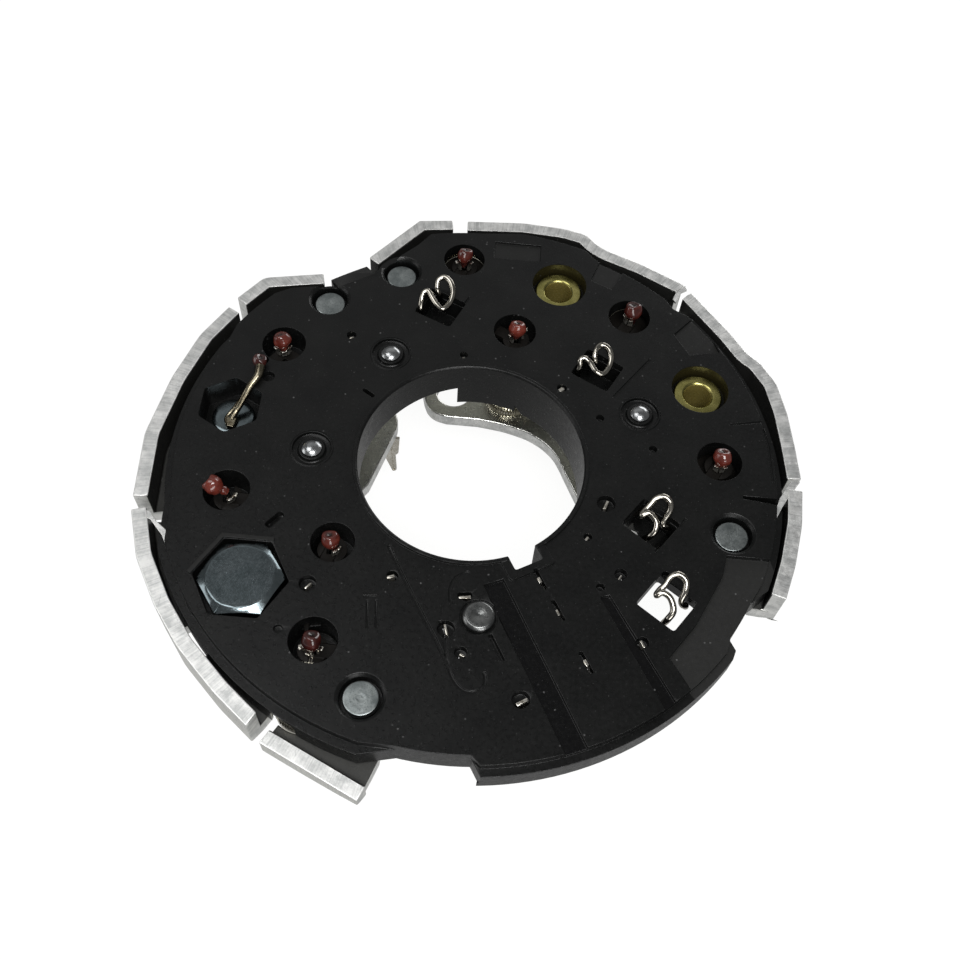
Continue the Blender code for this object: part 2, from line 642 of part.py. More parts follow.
# Diodes.
def diode(n, lx, ly, in_inner):
    face = INNER_TOP if in_inner else SINK_TOP
    base = INNER_BOT if in_inner else SINK_BOT
    top = face + CUP_PROUD
    cx, cy = CRANK_CUP if n == CRANKED else (lx, ly)
    cup = turned("diode_%s_cup" % n, [
        (0, top - 1.7), (SOCKET_R, top - 1.7), (SOCKET_R, top + 0.3), (2.3, top - 0.5),
        (5.1, top - 0.5), (5.3, top), (6.1, top), (CUP_R, top - 0.3), (CUP_R, base + 0.4),
        (CUP_R - 0.4, base), (0, base)], cx, cy, 16)
    finish(cup, CUP)
    foot = top - 1.7 + GAP
    if n == CRANKED:
        run = top + 0.95
        path = [(cx, cy, foot), (cx, cy, run - 0.5), (cx + 0.02, cy + 0.5, run), (lx, ly - 0.8, run),
                (lx, ly, run + 0.6), (lx, ly, LEAD_TOP)]
    elif n == BENT:
        path = [(lx, ly, foot), (lx, ly, -3.0), (lx - 0.5, ly, -1.2), (lx - 1.3, ly + 0.1, 0.2),
                (lx - 2.1, ly + 0.2, 0.9)]
    else:
        path = [(lx, ly, foot), (lx, ly, LEAD_TOP)]
    finish(wire("diode_%s_lead" % n, path, LEAD_R, 2), TINNED)
    bead = turned("lacquer_bead_%s" % n, [
        (0, 3.0), (1.2, 2.65), (1.85, 1.9), (1.9, 0.9), (1.4, -0.2),
        (SOCKET_R, -0.2), (SOCKET_R, LEAD_TOP + GAP), (0, LEAD_TOP + GAP)], 0, 0, 12)
    if n == BENT:
        tip = Matrix.Translation(((lx - 2.1) * MM, (ly + 0.2) * MM, 0.9 * MM))
        lean = Matrix.Rotation(math.radians(-49.0), 4, "Y")
        bead.data.transform(tip @ lean @ Matrix.Translation((0, 0, -LEAD_TOP * MM)))
    else:
        bead.data.transform(Matrix.Translation((lx * MM, ly * MM, 0)))
    finish(bead, LACQUER)


# Phase strips.
STRIP_TOP = -WALL - GAP
STRIP_T = 0.8
STRIP_W = 3.0
PAD_R = 3.6
TAB_TOP = -0.5
# each strip: its path under the top wall, and its forks as (diode, direction of the open side)
STRIPS = [
    ("1", [(-6.2, 59.0), (-8.8, 52.0), (-5.6, 49.6), (-2.6, 43.0), (8.0, 37.4)], [("2", 75.0), ("6", -30.0)]),
    ("2", [(35.6, 46.0), (30.6, 37.4), (22.4, 32.4), polar(COLLAR_R + 3.8, 52.9)] + arc(COLLAR_R + 2.6, 50.0, 150.0, step=10.0)
     + [(-38.0, 22.4), (-46.4, 27.8), (-50.1, 22.3), (-50.4, 20.6)], [("7", 55.0), ("1", 95.0)]),
    ("3", [(55.7, 5.9), (50.0, -3.4), (42.6, -4.4), (35.4, -7.4)] + arc(COLLAR_R + 5.6, -25.0, -95.0, step=10.0)
     + arc(COLLAR_R + 2.2, -108.0, -148.0, step=10.0) + [(-39.0, -13.4), (-51.7, -13.0)], [("8", 60.0), ("3", 180.0)]),
    ("4", [(-27.6, -23.4), (-30.9, -33.3), (-28.2, -46.2), (-12.0, -46.6), (14.0, -54.2), (29.0, -48.4),
           (38.6, -40.4), (41.6, -34.6)], [("4", 60.0), ("5", -93.0)]),
]


def phase_strip(n, path, forks):
    low = STRIP_TOP - STRIP_T
    strip = prism("phase_strip_" + n, [ribbon(path, STRIP_W)], low, STRIP_TOP)
    leads = {name: (lx, ly) for name, _, _, lx, ly, _ in DIODES}
    slots = []
    for name, turn in forks:
        lx, ly = leads[name]
        combine(strip, drum("pad", lx, ly, PAD_R, low + 0.02, STRIP_TOP - 0.02, 24))
        side = SOCKET_R + 0.05
        for sign in (-1, 1):
            c, s = polar(1.0, turn + 90.0 * sign)
            x = lx + c * (side + 0.4)
            y = ly + s * (side + 0.4)
            tip = TAB_TOP - 0.7 * (name == BENT)
            combine(strip, prism("tab", [rectangle(x, y, 2.2, 0.8, turn)], low + 0.2, tip))
        x, y = polar(2.6, turn, lx, ly)
        slots.append(prism("slot", [rectangle(x, y, 5.2 + 2 * side, 2 * side, turn)], low - 1, TAB_TOP + 1))
    cut(strip, "fork_slots_" + n, slots)
    finish(strip, STRIP)


# Stator wire clips.
# one clip, relative to the middle of its window: x, y and height over the top face
CLIP_PATH = [
    (0.2, -3.0, -2.85), (0.6, -2.5, 0.0), (1.3, -0.4, 0.9), (-0.4, 1.4, 1.0), (-2.3, 0.7, 0.4),
    (-1.2, -0.6, -0.9), (0.0, 1.6, -0.2), (0.9, 3.4, 2.4), (2.4, 3.6, 3.0), (3.6, 2.2, 1.8),
    (3.6, 0.7, -0.6), (3.6, 0.6, -2.2),
]


def wire_clip(n, cx, cy, turn):
    c = math.cos(math.radians(turn))
    s = math.sin(math.radians(turn))
    path = [(cx + x * c - y * s, cy + x * s + y * c, z) for x, y, z in smooth_path(CLIP_PATH, 2)]
    finish(wire("stator_clip_" + n, path, CLIP_WIRE_R, 2), TINNED)


# Studs and fasteners.
def studs():
    x, y = STUD_B
    head = prism("b_plus_bolt", [hexagon(x, y, HEX_AF)], HEX_TOP - HEX_H, HEX_TOP)
    cone = turned("cone", [(0, HEX_TOP + 0.01), (7.2, HEX_TOP + 0.01), (9.6, HEX_TOP - 1.35),
                           (9.6, HEX_TOP - HEX_H - 1), (0, HEX_TOP - HEX_H - 1)], x, y, 36)
    combine(head, cone, "INTERSECT")
    shank = turned("shank", [(0, HEX_TOP - HEX_H + 0.5), (SHANK_R, HEX_TOP - HEX_H + 0.5),
                             (SHANK_R, SHANK_END + 1.0), (SHANK_R - 1.0, SHANK_END), (0, SHANK_END)], x, y, 18)
    combine(head, shank, "UNION", CLOSED)
    finish(head, ZINC)
    nut_top = INNER_BOT - GAP
    nut = prism("b_plus_nut", [hexagon(x, y, HEX_AF, 12.0), circle(x, y, SHANK_R + GAP, 24)],
                nut_top - NUT_H, nut_top)
    finish(nut, ZINC)
    bush = turned("b_plus_insulator", [
        (8.0, SINK_TOP + 0.1), (8.0, SINK_BOT - GAP), (10.6, SINK_BOT - GAP), (10.6, INNER_TOP + GAP),
        (SHANK_R + GAP, INNER_TOP + GAP), (SHANK_R + GAP, SINK_TOP + 0.1)], x, y, 18, closed=True)
    finish(bush, SPACER)
    x, y = STUD_W
    stud = turned("w_stud", [
        (0, STUD_W_TOP), (STUD_W_HEAD_R - 0.4, STUD_W_TOP), (STUD_W_HEAD_R, STUD_W_TOP - 0.4),
        (STUD_W_HEAD_R, STUD_W_TOP - 1.5), (STUD_W_R, STUD_W_TOP - 1.5), (STUD_W_R, STUD_W_END + 0.6),
        (STUD_W_R - 0.6, STUD_W_END), (0, STUD_W_END)], x, y, 18)
    finish(stud, ZINC)
    on_head = STUD_W_TOP + GAP + LEAD_R
    path = [(-54.6, 6.6, on_head), (-54.5, 8.4, on_head), (-54.0, 10.6, -2.2), (-53.0, 14.0, 0.2),
            (-51.9, 17.2, 1.4), (-51.0, 19.2, 1.7)]
    finish(wire("w_lead", smooth_path(path, 3), LEAD_R, 2), TINNED)
    post = [(-50.1, 22.3, -2.8), (-50.1, 22.3, -0.6), (-50.2, 21.9, 0.5), (-50.4, 21.2, 1.5)]
    finish(wire("w_post", smooth_path(post, 2), LEAD_R, 2), TINNED)


def bushes():
    for n, x, y in BUSHES:
        end = INNER_BOT - GAP
        bush = turned("mounting_bush_" + n, [
            (BUSH_FLANGE_R - 0.4, BUSH_TOP), (BUSH_FLANGE_R, BUSH_TOP - 0.4), (BUSH_FLANGE_R, BUSH_TOP - 1.1),
            (BUSH_R, BUSH_TOP - 1.1), (BUSH_R, end), (BUSH_BORE_R, end), (BUSH_BORE_R, BUSH_TOP - 0.5),
            (BUSH_BORE_R + 0.5, BUSH_TOP)], x, y, 22, closed=True)
        finish(bush, YELLOW)
        sleeve = turned("bush_insulator_" + n, [
            (8.2, SINK_BOT - GAP), (8.2, INNER_TOP + GAP), (6.6, INNER_TOP + GAP), (6.6, INNER_BOT),
            (BUSH_R + GAP, INNER_BOT), (BUSH_R + GAP, SINK_BOT - GAP)], x, y, 16, closed=True)
        finish(sleeve, SPACER)


def rivets():
    for n, x, y, z, both in RIVETS:
        tail = (INNER_BOT if both else SINK_BOT) - GAP
        seat = z - RIVET_HEAD_H
        rivet = turned("rivet_" + n, [
            (0, z), (RIVET_HEAD_R - 0.5, z), (RIVET_HEAD_R, z - 0.4), (RIVET_HEAD_R, seat), (RIVET_R, seat),
            (RIVET_R, tail), (3.5, tail), (3.5, tail - 0.9), (2.9, tail - 1.4), (0, tail - 1.4)], x, y, 16)
        finish(rivet, RIVET)
        if both:
            spacer = turned("rivet_spacer_" + n, [
                (5.2, SINK_BOT - GAP), (5.2, INNER_TOP + GAP), (RIVET_R + GAP, INNER_TOP + GAP),
                (RIVET_R + GAP, SINK_BOT - GAP)], x, y, 14, closed=True)
            finish(spacer, SPACER)
    for n, x, y in DOMES:
        tail = SINK_BOT - GAP
        dome = turned("dome_rivet_" + n, [
            (0, 1.25), (0.9, 1.15), (1.7, 0.8), (DOME_R, GAP), (1.5, GAP), (1.5, tail), (2.6, tail),
            (2.6, tail - 0.7), (2.1, tail - 1.1), (0, tail - 1.1)], x, y, 14)
        finish(dome, RIVET)
    x, y = polar(PIN_R, PIN_TURN)
    pin = turned("contact_pin", [
        (0, 1.15), (PIN_HEAD_R - 0.3, 1.15), (PIN_HEAD_R, 0.85), (PIN_HEAD_R, -0.05), (1.9, -0.05),
        (1.9, -9.0), (1.4, -9.5), (0, -9.5)], x, y, 18)
    finish(pin, RIVET)


def blade_terminal():
    """Flat tapered blade with a two-pronged tip, hanging from a foot under the inner heat sink."""
    top = INNER_BOT - GAP
    foot = prism("blade_terminal", [[(-33.0, 21.4), (-20.6, 21.4), (-20.4, 25.8), (-33.0, 25.8)]], top - 0.9, top)
    side = [(-25.4, 0.0), (-19.0, 0.0), (-19.4, -6.8), (-20.2, -7.8), (-20.0, -15.2), (-21.2, -15.4)]
    blade = prism("blade", [side], -0.45, 0.45)
    turn = Matrix.Translation((0, 23.6 * MM, (top - 0.2) * MM)) @ Matrix.Rotation(math.radians(90), 4, "X")
    blade.data.transform(turn)
    combine(foot, blade)
    finish(foot, STRIP)


terminal_board()
outer_heat_sink()
inner_heat_sink()
for number, _, _, lead_x, lead_y, inside in DIODES:
    diode(number, lead_x, lead_y, inside)
for number, route, open_sides in STRIPS:
    phase_strip(number, route, open_sides)
for number, window_x, window_y, _, clip_turn in CLIPS:
    wire_clip(number, window_x, window_y, clip_turn)
studs()
bushes()
rivets()
blade_terminal()
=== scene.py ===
"""Looks of the alternator rectifier: every CAD node is shown by a finer piece in the same place.

Frame of the part: shaft axis is Z, z = 0 is the top face of the terminal board, heat sinks hang below.
Sizes are written in millimetres. The camera stands where the photograph was taken from.
"""
import math
import random

import bmesh
import bpy
from mathutils import Matrix, Vector, noise


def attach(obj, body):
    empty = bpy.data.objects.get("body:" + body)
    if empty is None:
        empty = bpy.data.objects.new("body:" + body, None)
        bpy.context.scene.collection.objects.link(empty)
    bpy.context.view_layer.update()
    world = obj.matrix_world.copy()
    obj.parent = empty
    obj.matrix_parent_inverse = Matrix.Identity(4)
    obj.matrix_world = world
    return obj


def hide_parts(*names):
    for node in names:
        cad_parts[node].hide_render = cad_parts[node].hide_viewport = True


MM = 0.001
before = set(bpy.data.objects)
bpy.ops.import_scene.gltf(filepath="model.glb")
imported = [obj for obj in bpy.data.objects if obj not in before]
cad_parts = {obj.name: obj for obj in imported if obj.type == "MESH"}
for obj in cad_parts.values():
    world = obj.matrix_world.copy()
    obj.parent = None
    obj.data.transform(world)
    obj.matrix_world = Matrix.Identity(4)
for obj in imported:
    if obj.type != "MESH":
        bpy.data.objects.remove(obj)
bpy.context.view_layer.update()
PIECES = bpy.data.collections.new("shown_pieces")
bpy.context.scene.collection.children.link(PIECES)


# Plane geometry.
def polar(r, a, cx=0.0, cy=0.0):
    return (cx + r * math.cos(math.radians(a)), cy + r * math.sin(math.radians(a)))


def arc(r, a0, a1, cx=0.0, cy=0.0, step=2.0):
    n = max(1, round(abs(a1 - a0) / step))
    return [polar(r, a0 + (a1 - a0) * i / n, cx, cy) for i in range(n + 1)]


def circle(cx, cy, r, n=48):
    return [polar(r, 360.0 * i / n, cx, cy) for i in range(n)]


def rectangle(cx, cy, w, h, turn=0.0):
    c, s = math.cos(math.radians(turn)), math.sin(math.radians(turn))
    corners = [(-w / 2, -h / 2), (w / 2, -h / 2), (w / 2, h / 2), (-w / 2, h / 2)]
    return [(cx + x * c - y * s, cy + x * s + y * c) for x, y in corners]


def bend(p0, corner, p1, shares):
    """Points of a curve from p0 to p1 that turns at the corner."""
    return [tuple(p0 * (1 - t) ** 2 + corner * 2 * t * (1 - t) + p1 * t * t) for t in shares]


def rounded(points, r, steps=4):
    """The outline with its corners rounded."""
    out = []
    for i, p in enumerate(points):
        a, b, c = Vector(points[i - 1]), Vector(p), Vector(points[(i + 1) % len(points)])
        back, on = (a - b), (c - b)
        k = min(r, back.length * 0.45, on.length * 0.45)
        p0, p1 = b + back.normalized() * k, b + on.normalized() * k
        out += bend(p0, b, p1, [j / steps for j in range(steps + 1)])
    return out


def hexagon(cx, cy, across_flats, turn=0.0):
    return [polar(across_flats / math.sqrt(3.0), turn + 60.0 * i, cx, cy) for i in range(6)]


def inset(points, amount):
    """The outline drawn in towards the shaft axis."""
    radii = [math.hypot(x, y) for x, y in points]
    return [(x * (r - amount) / r, y * (r - amount) / r) for (x, y), r in zip(points, radii)]


def offset(points, width):
    """An open path moved to its left by a width, mitred at its bends."""
    out = []
    for i, p in enumerate(points):
        a, b = points[max(i - 1, 0)], points[min(i + 1, len(points) - 1)]
        d1 = Vector((p[0] - a[0], p[1] - a[1]))
        d2 = Vector((b[0] - p[0], b[1] - p[1]))
        d1 = d1.normalized() if d1.length > 0 else d2.normalized()
        d2 = d2.normalized() if d2.length > 0 else d1
        n1, n2 = Vector((-d1.y, d1.x)), Vector((-d2.y, d2.x))
        m = (n1 + n2).normalized()
        k = width / max(m.dot(n1), 0.6)
        out.append((p[0] + m.x * k, p[1] + m.y * k))
    return out


def ribbon(path, width):
    return offset(path, width / 2) + offset(path, -width / 2)[::-1]


def smooth_path(points, per_span):
    """Points of a smooth curve through the given points, flat or in space."""
    out = []
    pts = [Vector(p) for p in points]
    for i in range(len(pts) - 1):
        p0, p1, p2, p3 = pts[max(i - 1, 0)], pts[i], pts[i + 1], pts[min(i + 2, len(pts) - 1)]
        for k in range(per_span):
            t = k / per_span
            out.append(0.5 * (2 * p1 + (p2 - p0) * t + (2 * p0 - 5 * p1 + 4 * p2 - p3) * t * t
                              + (3 * p1 - p0 - 3 * p2 + p3) * t ** 3))
    out.append(pts[-1])
    return [tuple(p) for p in out]


def inside(points, x, y):
    """Whether x, y lies in the outline."""
    hit = False
    for (x0, y0), (x1, y1) in zip(points, points[1:] + points[:1]):
        if (y0 > y) != (y1 > y) and x < (x1 - x0) * (y - y0) / (y1 - y0) + x0:
            hit = not hit
    return hit


# Solids.
def settle(obj):
    """The mesh an object has once its curve, modifiers or nodes are worked out."""
    bpy.context.view_layer.update()
    deps = bpy.context.evaluated_depsgraph_get()
    return bpy.data.meshes.new_from_object(obj.evaluated_get(deps), preserve_all_data_layers=True,
                                           depsgraph=deps)


def bake(obj):
    """Turns an object's modifiers into plain mesh."""
    mesh = settle(obj)
    old = obj.data
    obj.modifiers.clear()
    obj.data = mesh
    bpy.data.meshes.remove(old)
    return obj


def solid(name, mesh):
    """A piece from a mesh, with its doubles merged and its faces turned outward."""
    bm = bmesh.new()
    bm.from_mesh(mesh)
    bmesh.ops.remove_doubles(bm, verts=bm.verts, dist=1e-6)
    bmesh.ops.recalc_face_normals(bm, faces=bm.faces)
    bm.to_mesh(mesh)
    bm.free()
    obj = bpy.data.objects.new(name, mesh)
    PIECES.objects.link(obj)
    return obj


def from_bmesh(name, bm, cx=0.0, cy=0.0):
    """Piece from a bmesh, moved to cx, cy. The bmesh is used up."""
    mesh = bpy.data.meshes.new(name)
    bm.to_mesh(mesh)
    bm.free()
    mesh.transform(Matrix.Translation((cx * MM, cy * MM, 0.0)))
    return solid(name, mesh)


def from_curve(name, curve, lift=0.0):
    """Mesh piece of a curve, raised by lift. The curve is used up."""
    guide = bpy.data.objects.new(name + "_guide", curve)
    PIECES.objects.link(guide)
    mesh = settle(guide)
    mesh.transform(Matrix.Translation((0, 0, lift)))
    bpy.data.objects.remove(guide)
    bpy.data.curves.remove(curve)
    return solid(name, mesh)


def prism(name, outlines, z0, z1):
    """Flat outline (the first one) with holes (the others), raised from z0 to z1."""
    curve = bpy.data.curves.new(name + "_outline", "CURVE")
    curve.dimensions = "2D"
    curve.fill_mode = "BOTH"
    curve.extrude = (z1 - z0) / 2 * MM
    for points in outlines:
        spline = curve.splines.new("POLY")
        spline.points.add(len(points) - 1)
        for p, (x, y) in zip(spline.points, points):
            p.co = (x * MM, y * MM, 0.0, 1.0)
        spline.use_cyclic_u = True
    return from_curve(name, curve, (z0 + z1) / 2 * MM)


def wire(name, points, r, sides=3, taper=None):
    """Round wire along a path of (x, y, z). taper gives the share of r at each point."""
    curve = bpy.data.curves.new(name + "_path", "CURVE")
    curve.dimensions = "3D"
    curve.bevel_depth = r * MM
    curve.bevel_resolution = sides
    curve.use_fill_caps = True
    spline = curve.splines.new("POLY")
    spline.points.add(len(points) - 1)
    for i, (p, (x, y, z)) in enumerate(zip(spline.points, points)):
        p.co = (x * MM, y * MM, z * MM, 1.0)
        p.radius = taper(i / (len(points) - 1)) if taper else 1.0
    return from_curve(name, curve)


def turned(name, profile, cx=0.0, cy=0.0, steps=48, closed=False):
    """Turned shape: a profile of (radius, z) spun round the vertical at cx, cy."""
    bm = bmesh.new()
    rings = []
    for r, z in profile:
        if r < 1e-6:
            rings.append([bm.verts.new((0, 0, z * MM))])
        else:
            rings.append([bm.verts.new((r * MM * math.cos(math.tau * i / steps),
                                        r * MM * math.sin(math.tau * i / steps), z * MM))
                          for i in range(steps)])
    pairs = list(zip(rings, rings[1:]))
    if closed:
        pairs.append((rings[-1], rings[0]))
    for a, b in pairs:
        for i in range(steps):
            j = (i + 1) % steps
            if len(a) == 1:
                bm.faces.new((a[0], b[i], b[j]))
            elif len(b) == 1:
                bm.faces.new((a[i], a[j], b[0]))
            else:
                bm.faces.new((a[i], a[j], b[j], b[i]))
    return from_bmesh(name, bm, cx, cy)


def drum(name, cx, cy, r, z0, z1, sides=40):
    return turned(name, [(0, z1), (r, z1), (r, z0), (0, z0)], cx, cy, sides)


def hull(name, corners):
    """Convex solid through the given corners."""
    bm = bmesh.new()
    for x, y, z in corners:
        bm.verts.new((x * MM, y * MM, z * MM))
    bmesh.ops.convex_hull(bm, input=bm.verts)
    return from_bmesh(name, bm)


def modify(obj, kind, **settings):
    """Adds a modifier, which bake then turns into mesh."""
    mod = obj.modifiers.new(kind.lower(), kind)
    for key, value in settings.items():
        setattr(mod, key, value)


def combine(target, tool, operation="UNION"):
    """Adds the tool to the target, or cuts it out, or keeps what both share. The tool is used up."""
    modify(target, "BOOLEAN", operation=operation, solver="MANIFOLD", object=tool)
    bake(target)
    bpy.data.objects.remove(tool)
    return target


def join(target, *others):
    """Puts the meshes of the others into the target, as they are."""
    bm = bmesh.new()
    bm.from_mesh(target.data)
    for other in others:
        bm.from_mesh(other.data)
        bpy.data.objects.remove(other)
    bm.to_mesh(target.data)
    bm.free()
    return target


def cut(target, tools):
    """Cuts tools that don't touch each other out of the target."""
    return combine(target, join(*tools), "DIFFERENCE")


def merge_flats(obj):
    """Merges what the Booleans leave on flat areas, and splits those areas afresh into even triangles."""
    modify(obj, "DECIMATE", decimate_type="DISSOLVE", angle_limit=math.radians(0.4))
    modify(obj, "TRIANGULATE", ngon_method="BEAUTY", min_vertices=5)
    return bake(obj)


def ease(obj, width, segments=2):
    """Breaks the sharp edges."""
    modify(obj, "BEVEL", width=width * MM, segments=segments, limit_method="ANGLE",
           angle_limit=math.radians(38.0), use_clamp_overlap=False, loop_slide=False,
           miter_outer="MITER_SHARP", face_strength_mode="FSTR_ALL")
    return bake(obj)


def seal(obj):
    """Closes the pin holes that merging flats can leave."""
    bm = bmesh.new()
    bm.from_mesh(obj.data)
    bmesh.ops.dissolve_degenerate(bm, edges=bm.edges, dist=1e-6)
    bmesh.ops.remove_doubles(bm, verts=bm.verts, dist=2e-6)
    bmesh.ops.holes_fill(bm, edges=[e for e in bm.edges if e.is_boundary], sides=0)
    bm.to_mesh(obj.data)
    bm.free()
    return obj


def paint(obj, name, rule):
    """Face attribute from a rule of (centre in mm, normal)."""
    attribute = obj.data.attributes.new(name, "FLOAT", "FACE")
    for face in obj.data.polygons:
        attribute.data[face.index].value = rule(face.center / MM, face.normal)
    return obj


def centre_marks(obj, cx, cy):
    """UV map in mm from the piece's own axis, for marks left by turning."""
    layer = obj.data.uv_layers.new(name="turning")
    for loop in obj.data.loops:
        co = obj.data.vertices[loop.vertex_index].co
        layer.data[loop.index].uv = (co.x / MM - cx, co.y / MM - cy)
    return obj


def show(obj, node, finish, sharp=36.0):
    """The piece takes its finish and stands for its CAD node."""
    obj.name = "shown_" + node
    obj.data.name = obj.name
    obj.data.materials.clear()
    obj.data.materials.append(finish)
    obj.data.shade_smooth()
    obj.data.set_sharp_from_angle(angle=math.radians(sharp))
    modify(obj, "WEIGHTED_NORMAL", keep_sharp=True, weight=60, use_face_influence=True)
    bake(obj)
    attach(obj, "root")
    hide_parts(node)
    return obj


# Shader groups. Every texture runs in millimetres of the part's own frame.
def feed(tree, socket, value):
    """Links the value to the socket, or sets it there where it is plain."""
    if isinstance(value, bpy.types.NodeSocket):
        tree.links.new(value, socket)
    else:
        socket.default_value = value


def put(tree, kind, sockets=(), **settings):
    """A new node with its settings and its inputs, which are links or plain values."""
    node = tree.nodes.new(kind)
    for key, value in settings.items():
        setattr(node, key, value)
    for key, value in dict(sockets).items():
        feed(tree, node.inputs[key], value)
    return node


def calc(tree, operation, a, b=0.0, c=0.0):
    return put(tree, "ShaderNodeMath", {0: a, 1: b, 2: c}, operation=operation).outputs[0]


def spread(tree, value, low, high, out_low=0.0, out_high=1.0):
    """Stretches low..high to out_low..out_high, clamped."""
    node = put(tree, "ShaderNodeMapRange", {"Value": value, "From Min": low, "From Max": high,
                                            "To Min": out_low, "To Max": out_high})
    return node.outputs["Result"]


def blend(tree, share, a, b):
    """Colour from a to b by the share."""
    node = put(tree, "ShaderNodeMix", data_type="RGBA")
    feed(tree, node.inputs[0], share)
    for socket, colour in zip(node.inputs[6:8], (a, b)):
        feed(tree, socket, (*colour, 1.0) if isinstance(colour, tuple) else colour)
    return node.outputs[2]


def group(name, inputs, outputs):
    """Empty shader group: its tree, what comes in and what goes out."""
    tree = bpy.data.node_groups.new(name, "ShaderNodeTree")
    kinds = {"v": "NodeSocketVector", "f": "NodeSocketFloat"}
    for label, kind in inputs:
        tree.interface.new_socket(label, in_out="INPUT", socket_type=kinds[kind])
    for label, kind in outputs:
        tree.interface.new_socket(label, in_out="OUTPUT", socket_type=kinds[kind])
    return tree, tree.nodes.new("NodeGroupInput").outputs, tree.nodes.new("NodeGroupOutput").inputs


def stretched(tree, vector, scale, turn=(0.0, 0.0, 0.0)):
    return put(tree, "ShaderNodeMapping", {"Vector": vector, "Scale": scale, "Rotation": turn}).outputs[0]


def noise_value(tree, vector, scale, detail=3.0, rough=0.55):
    node = put(tree, "ShaderNodeTexNoise", {"Vector": vector, "Scale": scale, "Detail": detail,
                                            "Roughness": rough})
    return node.outputs[0]


def mottle_group():
    """Broad and fine unevenness, 0 to 1."""
    t, i, o = group("mottle", [("Vector", "v"), ("Size", "f")], [("Broad", "f"), ("Fine", "f")])
    per = calc(t, "DIVIDE", 1.0, i["Size"])
    t.links.new(spread(t, noise_value(t, i["Vector"], per, 3.0), 0.3, 0.7), o["Broad"])
    t.links.new(noise_value(t, i["Vector"], calc(t, "MULTIPLY", per, 9.0), 4.0), o["Fine"])
    return t


def specks_group():
    """Small dots scattered over the surface."""
    t, i, o = group("specks", [("Vector", "v"), ("Size", "f"), ("Share", "f")], [("Mask", "f")])
    cells = put(t, "ShaderNodeTexVoronoi", {"Vector": i["Vector"], "Scale": calc(t, "DIVIDE", 1.0, i["Size"])})
    pick = put(t, "ShaderNodeSeparateColor", {"Color": cells.outputs["Color"]})
    chosen = calc(t, "LESS_THAN", pick.outputs[0], i["Share"])
    near = spread(t, cells.outputs["Distance"], 0.22, 0.1)
    strength = calc(t, "MULTIPLY", chosen, pick.outputs[1])
    t.links.new(calc(t, "MULTIPLY", near, strength), o["Mask"])
    return t


def scratches_group():
    """Fine straight marks in two directions."""
    t, i, o = group("scratches", [("Vector", "v"), ("Length", "f"), ("Share", "f")], [("Mask", "f")])
    masks = []
    for turn in (0.55, 2.1):
        lines = stretched(t, i["Vector"], (9.0, 0.35, 1.0), (0.0, 0.0, turn))
        value = noise_value(t, lines, calc(t, "DIVIDE", 1.0, i["Length"]), 2.0)
        top = calc(t, "SUBTRACT", 0.84, i["Share"])
        masks.append(calc(t, "GREATER_THAN", value, top))
    t.links.new(calc(t, "MAXIMUM", masks[0], masks[1]), o["Mask"])
    return t


def turning_group():
    """Rings round the piece's axis, as a lathe or a punch leaves them."""
    t, i, o = group("turning_marks", [("Vector", "v"), ("Pitch", "f")], [("Height", "f")])
    away = put(t, "ShaderNodeVectorMath", {0: i["Vector"]}, operation="LENGTH").outputs["Value"]
    wobble = noise_value(t, i["Vector"], 0.9, 2.0)
    phase = calc(t, "MULTIPLY", calc(t, "DIVIDE", away, i["Pitch"]), math.tau)
    phase = calc(t, "ADD", phase, calc(t, "MULTIPLY", wobble, 3.0))
    t.links.new(calc(t, "MULTIPLY_ADD", calc(t, "SINE", phase), 0.5, 0.5), o["Height"])
    return t


MOTTLE = mottle_group()
SPECKS = specks_group()
SCRATCHES = scratches_group()
TURNING = turning_group()


def use(tree, shared, **sockets):
    """Outputs of a shared group placed in the tree with its own values."""
    return put(tree, "ShaderNodeGroup", sockets, node_tree=shared).outputs


class Finish:
    """A material under construction: its tree, its shader and a position in millimetres."""

    def __init__(self, name, metallic=0.0):
        self.material = bpy.data.materials.new(name)
        self.material.use_nodes = True
        self.tree = self.material.node_tree
        self.shader = self.tree.nodes["Principled BSDF"]
        self.shader.inputs["Metallic"].default_value = metallic
        where = self.tree.nodes.new("ShaderNodeTexCoord").outputs["Object"]
        self.mm = put(self.tree, "ShaderNodeVectorMath", {0: where, "Scale": 1000.0},
                      operation="SCALE").outputs[0]

    def attribute(self, name):
        return put(self.tree, "ShaderNodeAttribute", attribute_name=name).outputs["Fac"]

    def set(self, name, value):
        feed(self.tree, self.shader.inputs[name], value)

    def over(self, base, mask, share, colour):
        """The colour laid over the base where the mask is, as strong as the share."""
        return blend(self.tree, calc(self.tree, "MULTIPLY", mask, share), base, colour)

    def bump(self, height, depth, strength, under=None):
        """Relief of a height in millimetres, laid over the relief under it."""
        sockets = {"Height": height, "Distance": depth * MM, "Strength": strength}
        if under is not None:
            sockets["Normal"] = under
        normal = put(self.tree, "ShaderNodeBump", sockets).outputs[0]
        self.set("Normal", normal)
        return normal


